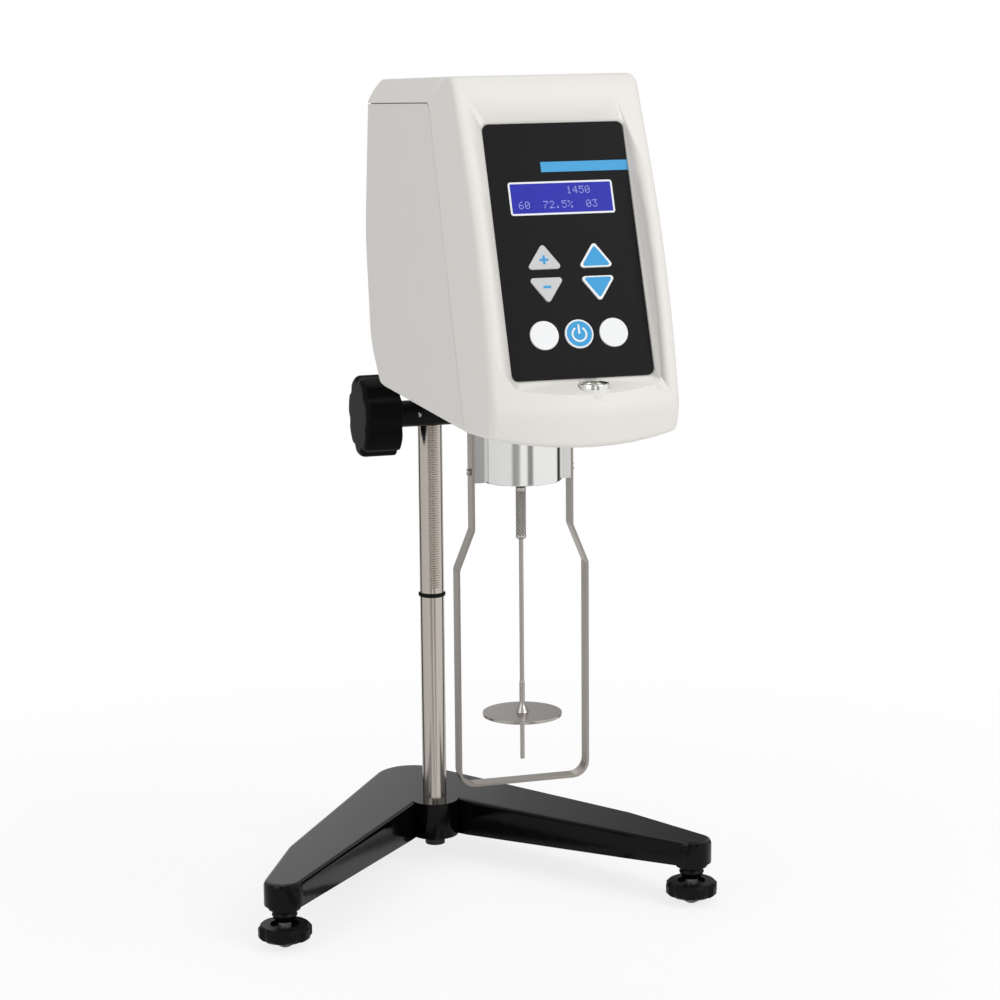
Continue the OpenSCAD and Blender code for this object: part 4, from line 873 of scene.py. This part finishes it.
# %% Shapes of the marks
def arrow_loop(x, down, width, height, corner, up, steps=5):
    """The rounded triangle of an arrow key, centred on (x, down)."""
    out = corner * 0.62
    sharp = [(0, -height / 2 - out), (-width / 2 - out, height / 2), (width / 2 + out, height / 2)]
    loop = []
    for i, here in enumerate(sharp):
        before, after = Vector(sharp[i - 1]), Vector(sharp[(i + 1) % 3])
        spot = Vector(here)
        u, w = (before - spot).normalized(), (after - spot).normalized()
        half = u.angle(w) / 2
        middle = spot + (u + w).normalized() * corner / sin(half)
        start = spot + u * corner / tan(half) - middle
        end = spot + w * corner / tan(half) - middle
        for k in range(steps + 1):
            ends = {0: start, steps: end}
            loop.append(middle + (ends[k] if k in ends else start.slerp(end, k / steps)))
    side = 1 if up else -1
    return [(x + p.x * side, down + p.y * side) for p in loop]


def disk_loop(x, down, radius, count=48):
    turns = [2 * pi * i / count for i in range(count)]
    return [(x + radius * cos(t), down + radius * sin(t)) for t in turns]


def bar(x, down, width, height):
    w, h = width / 2, height / 2
    return [(x - w, down - h), (x + w, down - h), (x + w, down + h), (x - w, down + h)]


def cross(x, down, size, width):
    s, w = size / 2, width / 2
    outline = [(-w, -s), (w, -s), (w, -w), (s, -w), (s, w), (w, w),
               (w, s), (-w, s), (-w, w), (-s, w), (-s, -w), (-w, -w)]
    return [(x + a, down + b) for a, b in outline]


def open_ring(x, down, radius, width, gap):
    """The open circle of a power symbol, with its gap at the top."""
    turns = [radians(-90 + gap + (360 - 2 * gap) * i / 40) for i in range(41)]
    outer, inner = radius + width / 2, radius - width / 2
    return [(x + outer * cos(t), down + outer * sin(t)) for t in turns] + \
        [(x + inner * cos(t), down + inner * sin(t)) for t in reversed(turns)]


# %% [markdown]
# The two arrow keys and the power key have a blue face, and the two speed keys have a blue sign.
# The power key's white sign lies on its blue face, so it is a second, higher sheet.

# %% Marks on the keys
LEFT_X, RIGHT_X, UP, DOWN, ROUND = -14.775, 14.534, 76.03, 94.46, 119.66
TOP = -0.9
FACE, MARK = (TOP - 0.05, TOP + 0.02), (TOP - 0.1, TOP - 0.04)
ARROW = (15.4, 11.0, 1.0)
power = [open_ring(0, ROUND + 0.2, 3.9, 1.0, 32), bar(0, ROUND - 2.6, 1.0, 5.2)]
sheet("plus_mark", [cross(LEFT_X, UP + 1.6, 5.0, 1.4)], *FACE, "key_speed_up", KEY_BLUE)
sheet("minus_mark", [bar(LEFT_X, DOWN - 1.6, 4.4, 1.4)], *FACE, "key_speed_down", KEY_BLUE)
sheet("up_face", [arrow_loop(RIGHT_X, UP + 0.5, *ARROW, True)], *FACE, "key_spindle_up", KEY_BLUE)
sheet("down_face", [arrow_loop(RIGHT_X, DOWN - 0.5, *ARROW, False)], *FACE, "key_spindle_down",
      KEY_BLUE)
sheet("power_face", [disk_loop(0, ROUND, 7.1)], *FACE, "key_power", KEY_BLUE)
sheet("power_mark", power, *MARK, "key_power", KEY_WHITE)
print("points round the power ring:", len(power[0]))

# %% [markdown]
# The display writes with a grid of dots, five across and seven down for each sign. Only plain
# numbers are shown, so ten digits, a point and a percent sign are enough.

# %% Dots of the display
DIGITS = {
    "0": "0E 11 13 15 19 11 0E", "1": "04 0C 04 04 04 04 0E", "2": "0E 11 01 02 04 08 1F",
    "3": "1F 02 04 02 01 11 0E", "4": "02 06 0A 12 1F 02 02", "5": "1F 10 1E 01 01 11 0E",
    "6": "06 08 10 1E 11 11 0E", "7": "1F 01 02 04 08 08 08", "8": "0E 11 11 0E 11 11 0E",
    "9": "0E 11 11 0F 01 02 0C", ".": "00 00 00 00 00 0C 0C", "%": "18 19 02 04 08 13 03",
}


def dot_rows(words, left, top, dot=0.56, pitch=3.5):
    """Small squares for one line of signs. A sign that isn't in the table is a space."""
    loops = []
    for place, sign in enumerate(words):
        for row, bits in enumerate(DIGITS.get(sign, "").split()):
            for column in range(5):
                if int(bits, 16) & (16 >> column):
                    across = left + place * pitch + column * dot
                    loops.append(bar(across, top + row * dot * 1.08, dot * 0.84, dot * 0.9))
    return loops


dots = dot_rows("1450", 3.6, 36.6) + dot_rows("60  72.5%  03", -24.6, 44.6)
sheet("display_dots", dots, 0.05, 0.12, "display_window", LCD_INK)
print("dots:", len(dots))

# %% [markdown]
# ## Repeats
#
# Balls of a bearing, parts on a board and the turns of a spring all repeat one thing. Geometry
# Nodes say that once, with named inputs, and the result is kept as a plain mesh.

# %% Node groups
def group(name, inputs):
    """A node group with named inputs: its tree, and a function that gives an input's wire."""
    tree = bpy.data.node_groups.new(name, "GeometryNodeTree")
    for label, kind in inputs.items():
        tree.interface.new_socket(label, in_out="INPUT", socket_type="NodeSocket" + kind)
    tree.interface.new_socket("Geometry", in_out="OUTPUT", socket_type="NodeSocketGeometry")
    start = tree.nodes.new("NodeGroupInput")
    return tree, lambda label: Wire(tree, start.outputs[label])


def finish_group(tree, shape, material, place):
    """Realizes what was instanced, moves it and gives it its material."""
    real = shape.add("GeometryNodeRealizeInstances", {}, {0: shape})
    moved = real.add("GeometryNodeTransform", {}, {"Geometry": real, "Translation": place})
    done = moved.add("GeometryNodeSetMaterial", {}, {"Geometry": moved, "Material": material})
    end = tree.nodes.new("NodeGroupOutput")
    tree.links.new(done.socket, end.inputs[0])
    return tree


def ball_ring():
    tree, given = group("ball_ring", {
        "Count": "Int", "Radius": "Float", "Ball": "Float", "Place": "Vector",
        "Material": "Material"})
    ring = given("Count").add("GeometryNodeMeshCircle", {}, {
        "Vertices": given("Count"), "Radius": given("Radius")})
    ball = ring.add("GeometryNodeMeshUVSphere", {}, {
        "Segments": 20, "Rings": 12, "Radius": given("Ball")})
    balls = ring.add("GeometryNodeInstanceOnPoints", {}, {"Points": ring, "Instance": ball})
    return finish_group(tree, balls, given("Material"), given("Place"))


def ribbon_spiral():
    tree, given = group("ribbon_spiral", {
        "Turns": "Float", "Inner": "Float", "Outer": "Float", "Thickness": "Float",
        "Width": "Float", "Place": "Vector", "Material": "Material"})
    path = given("Turns").add("GeometryNodeCurveSpiral", {}, {
        "Resolution": 64, "Rotations": given("Turns"), "Start Radius": given("Inner"),
        "End Radius": given("Outer"), "Height": 0.0})
    strip = path.add("GeometryNodeCurvePrimitiveQuadrilateral", {}, {
        "Width": given("Thickness"), "Height": given("Width")})
    ribbon = path.add("GeometryNodeCurveToMesh", {}, {
        "Curve": path, "Profile Curve": strip, "Fill Caps": True})
    return finish_group(tree, ribbon, given("Material"), given("Place"))


def grown(name, tree, values):
    """A piece made by a node group, kept as a plain mesh."""
    piece = link(name, bpy.data.meshes.new(name))
    change = piece.modifiers.new("repeats", "NODES")
    change.node_group = tree
    for item in tree.interface.items_tree:
        if item.in_out == "INPUT":
            change[item.identifier] = values[item.name]
    return baked(piece)


# %% [markdown]
# Each ball bearing has two rings with a groove, and balls between them. The torsion spring is a
# flat ribbon wound between the collet on the shaft and the drive gear's skirt.

# %% Bearings and spring
BALLS, SPIRAL = ball_ring(), ribbon_spiral()


def bearing(node, low, high, bore, outer, balls):
    """Races and balls between two heights, in millimetres."""
    middle, wall = (bore + outer) / 2, (outer - bore) * 0.3
    ball = (outer - bore) * 0.27
    half = (low + high) / 2
    for number, near, far, side in ((0, bore, bore + wall, 1), (1, outer - wall, outer, -1)):
        track = far if side == 1 else near
        groove = [(track - side * 0.4 * cos(radians(a)) * wall, half + ball * 0.8 * sin(radians(a)))
                  for a in range(-90, 91, 30)]
        profile = [(near, low), (far, low)] + (groove if side == 1 else [])
        profile += [(far, high), (near, high)] + (groove[::-1] if side == -1 else [])
        race = ring_piece(f"{node}_race_{number}", profile + [profile[0]], AXIS, 64)
        settle(rounded(welded(race), 0, 40), node, TURNED)
    row = grown(node + "_balls", BALLS, {
        "Count": balls, "Radius": middle * MM, "Ball": ball * MM,
        "Place": (0, SPINDLE_Y, half * MM), "Material": POLISHED})
    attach(row, BODY_OF[node])


bearing("pivot_bearing", low=337, high=343, bore=2.06, outer=9.48, balls=8)
bearing("drive_bearing", low=404, high=409, bore=5.06, outer=9.48, balls=12)

coil = grown("torsion_spring_coil", SPIRAL, {
    "Turns": 3.0, "Inner": 0.0044, "Outer": 0.0146, "Thickness": 0.0004, "Width": 0.003,
    "Place": (0, SPINDLE_Y, 0.3845), "Material": COPPER})
settle(coil, "torsion_spring")
collet = [(2.06, 383), (4.3, 383), (4.3, 386), (2.06, 386), (2.06, 383)]
collar = rounded(welded(ring_piece("spring_collet", collet, AXIS, 48)), 0, 40)
settle(collar, "torsion_spring", BRASS)
print("spring faces:", len(coil.data.polygons))

# %% [markdown]
# ## Motor and board
#
# The stepping motor is a stack of steel sheets between two end castings. One finish shows both:
# height picks casting or sheets, and fine lines across the sheets do the rest.

# %% Motor
MOTOR_Z, STACK_LOW, STACK_HIGH = 409.0, 8.5, 29.5


def motor_steel():
    finish = Finish("motor_stack", "9A9C9F", 0.38, 0.85)
    height = finish.axis("z") - MOTOR_Z
    stack = (height > STACK_LOW) * (height < STACK_HIGH)
    sheets = (height * 1.6).then("PINGPONG", 0.5)
    wear = finish.noise(1.2, 3)
    cast = finish.mix(wear, paint("AEB1B4"), paint("C3C5C8"))
    finish.put("Base Color", finish.mix(stack, cast, paint("2A2B2E")))
    finish.put("Roughness", wear * 0.12 + 0.34)
    finish.bump(sheets * stack, 0.06)
    return finish.material


motor = dress("motor", motor_steel(), 0.5)
print("motor faces:", len(motor.data.polygons))

# %% [markdown]
# The parts on the board are blocks on a grid. A fixed seed picks which places are taken, and how
# large each block is.

# %% Board
def scattered_parts():
    tree, given = group("scattered_parts", {
        "Across": "Float", "Along": "Float", "Seed": "Int", "Place": "Vector",
        "Material": "Material"})
    grid = given("Across").add("GeometryNodeMeshGrid", {}, {
        "Size X": given("Across"), "Size Y": given("Along"), "Vertices X": 6, "Vertices Y": 9})
    chance = grid.add("FunctionNodeRandomValue", {"data_type": "BOOLEAN"}, {
        "Probability": 0.62, "Seed": given("Seed")}, out=3)
    block = grid.add("GeometryNodeMeshCube", {}, {"Size": (0.0062, 0.0048, 0.0018)})
    size = grid.add("FunctionNodeRandomValue", {"data_type": "FLOAT_VECTOR"}, {
        0: (0.35, 0.4, 0.6), 1: (1.2, 1.15, 1.0), "Seed": given("Seed")})
    blocks = grid.add("GeometryNodeInstanceOnPoints", {}, {
        "Points": grid, "Selection": chance, "Instance": block, "Scale": size})
    real = grid.add("GeometryNodeRealizeInstances", {}, {0: blocks})
    stood = grid.add("GeometryNodeTransform", {}, {
        "Geometry": real, "Rotation": (pi / 2 - TILT, 0, 0)})
    return finish_group(tree, stood, given("Material"), given("Place"))


BOARD_DEEP, BOARD_DOWN = 0.01745, 0.077
on_board = PANEL @ Vector((0, BOARD_DEEP, -BOARD_DOWN))
chips = grown("board_parts", scattered_parts(), {
    "Across": 0.056, "Along": 0.098, "Seed": 7, "Place": tuple(on_board), "Material": CHIP_BLACK})
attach(chips, BODY_OF["circuit_board"])
print("faces of the board's parts:", len(chips.data.polygons))

# %% [markdown]
# The inlet has three contact pins, of which the middle one stands a little higher.

# %% Inlet pins
PIN_X, PIN_Y, PIN_Z = 24, SPINDLE_Y / MM + 138, 392  # middle of the inlet's mouth
PINS = ((-7, -1.5), (0, 1.5), (7, -1.5))


def blocks(name, boxes, node, material, soft):
    """Blocks from their lowest and highest corners, with edges rounded by soft millimetres."""
    form = bmesh.new()
    for low, high in boxes:
        (x0, y0, z0), (x1, y1, z1) = low, high
        square = [(x0, z0), (x1, z0), (x1, z1), (x0, z1)]
        loft(form, [[Vector((x * MM, y * MM, z * MM)) for x, z in square] for y in (y0, y1)])
    piece = rounded(formed(name, form), soft)
    piece.data.materials.append(material)
    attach(piece, BODY_OF[node])
    return piece


pins = [((PIN_X + x - 1, PIN_Y - 15.2, PIN_Z + z - 2), (PIN_X + x + 1, PIN_Y - 1, PIN_Z + z + 2))
        for x, z in PINS]
blocks("inlet_pins", pins, "power_inlet", BRASS, 0.25)
print("pins:", len(pins))

# %% [markdown]
# ## Studio
#
# Three large soft lamps and the world light the instrument evenly. The floor and the world are
# white to the camera and to reflections, but the world lights the instrument only half as
# strongly, so pale plastic keeps its shade. The softboxes leave darker gaps between them, which
# polished metal shows as upright bands.

# %% World
# (share of a turn, brightness) round the room: 0.5 is its front, and the share grows to the right.
GAPS = [(0.0, 0.6), (0.012, 1), (0.10, 1), (0.115, 0.04), (0.165, 0.04), (0.185, 0.8),
        (0.43, 0.85), (0.45, 0.35), (0.49, 0.45), (0.505, 1), (0.548, 1), (0.558, 0.3),
        (0.588, 0.3), (0.6, 1), (0.825, 1), (0.845, 0.04), (0.885, 0.04), (0.9, 0.9),
        (0.96, 0.8), (0.988, 0.22), (1.0, 0.5)]


def glance(tree):
    """1 for rays from the camera, a mirror or glass; and 1 for rays from a mirror alone."""
    path = Wire(tree, None).add("ShaderNodeLightPath").socket.node
    camera_ray, glossy, through = (Wire(tree, path.outputs[k]) for k in (
        "Is Camera Ray", "Is Glossy Ray", "Is Transmission Ray"))
    return camera_ray.then("MAXIMUM", glossy).then("MAXIMUM", through), glossy


def between_lamps(x, y, glossy):
    """Brightness of the studio's surroundings: darker between the lamps, for mirrored rays only."""
    start = 1.5 + (90 + VIEW_TURN) / 360
    share = (y.then("ARCTAN2", x) / (2 * pi) + start).then("FRACT")
    stops = [(place, (light, light, light)) for place, light in GAPS]
    bands = share.add("ShaderNodeValToRGB", {"stops": stops}, {"Fac": share})
    return 1 - glossy * (1 - bands)


def light_world():
    world = bpy.data.worlds.new("studio_world")
    world.use_nodes = True
    bpy.context.scene.world = world
    tree = world.node_tree
    background = tree.nodes["Background"]
    background.inputs["Color"].default_value = (1, 1, 1, 1)
    seen, glossy = glance(tree)
    look = seen.add("ShaderNodeTexCoord", out="Generated")
    x, y = (seen.add("ShaderNodeSeparateXYZ", {}, {0: look}, out=k) for k in "XY")
    plug(tree, (seen * 0.5 + 0.5) * between_lamps(x, y, glossy), background.inputs["Strength"])


# %% [markdown]
# To the camera the floor is mostly a white glow of its own. Near the instrument a fifth of it is
# real light, which keeps a soft shadow, and that share fades out with distance. The lamps stand
# round the instrument and aim at its middle.

# %% Floor and lamps
FLOOR = 6  # half of the floor's width, in metres
SHADOW_FROM, SHADOW_TO, SHADOW_GLOW = 250, 700, 0.8


def add_floor():
    mesh = bpy.data.meshes.new("floor")
    corners = [(-FLOOR, -FLOOR, 0), (FLOOR, -FLOOR, 0), (FLOOR, FLOOR, 0), (-FLOOR, FLOOR, 0)]
    mesh.from_pydata(corners, [], [(0, 1, 2, 3)])
    floor = link("floor", mesh)
    finish = Finish("studio_floor", "F7F7F7", 0.6, specular_ior_level=0.0)
    finish.put("Base Color", finish.mix(finish.noise(400), paint("F7F7F7"), paint("FBFBFB")))
    seen, glossy = glance(finish.tree)
    far = finish.ramp(finish.radius(0, 0), SHADOW_FROM, SHADOW_TO, SHADOW_GLOW)
    glow = between_lamps(finish.axis("x"), finish.axis("y"), glossy)
    white = finish.root.add("ShaderNodeEmission", {}, {"Color": (1, 1, 1), "Strength": glow})
    lit = Wire(finish.tree, finish.shader.outputs[0])
    blend = finish.root.add("ShaderNodeMixShader", {}, {0: seen * far, 1: lit, 2: white})
    finish.tree.links.new(blend.socket, finish.tree.nodes["Material Output"].inputs["Surface"])
    mesh.materials.append(finish.material)


def add_lamp(name, place, aim, size, power):
    data = bpy.data.lights.new(name, "AREA")
    data.shape = "RECTANGLE"
    data.size, data.size_y = size
    data.energy = power
    lamp = bpy.data.objects.new(name, data)
    bpy.context.scene.collection.objects.link(lamp)
    lamp.location = place
    lamp.rotation_euler = (Vector(aim) - Vector(place)).to_track_quat("-Z", "Y").to_euler()


bpy.context.scene.view_settings.view_transform = "Standard"
light_world()
add_floor()
HEART = (0, 0, 0.3)
add_lamp("key_softbox", (1.3, -1.9, 1.9), HEART, (1.4, 1.4), 33)
add_lamp("fill_softbox", (-2.0, -1.2, 1.1), HEART, (1.4, 1.8), 12)
add_lamp("top_softbox", (0.0, 0.6, 2.2), HEART, (1.6, 1.6), 7)
print("lamps:", len(bpy.data.lights))
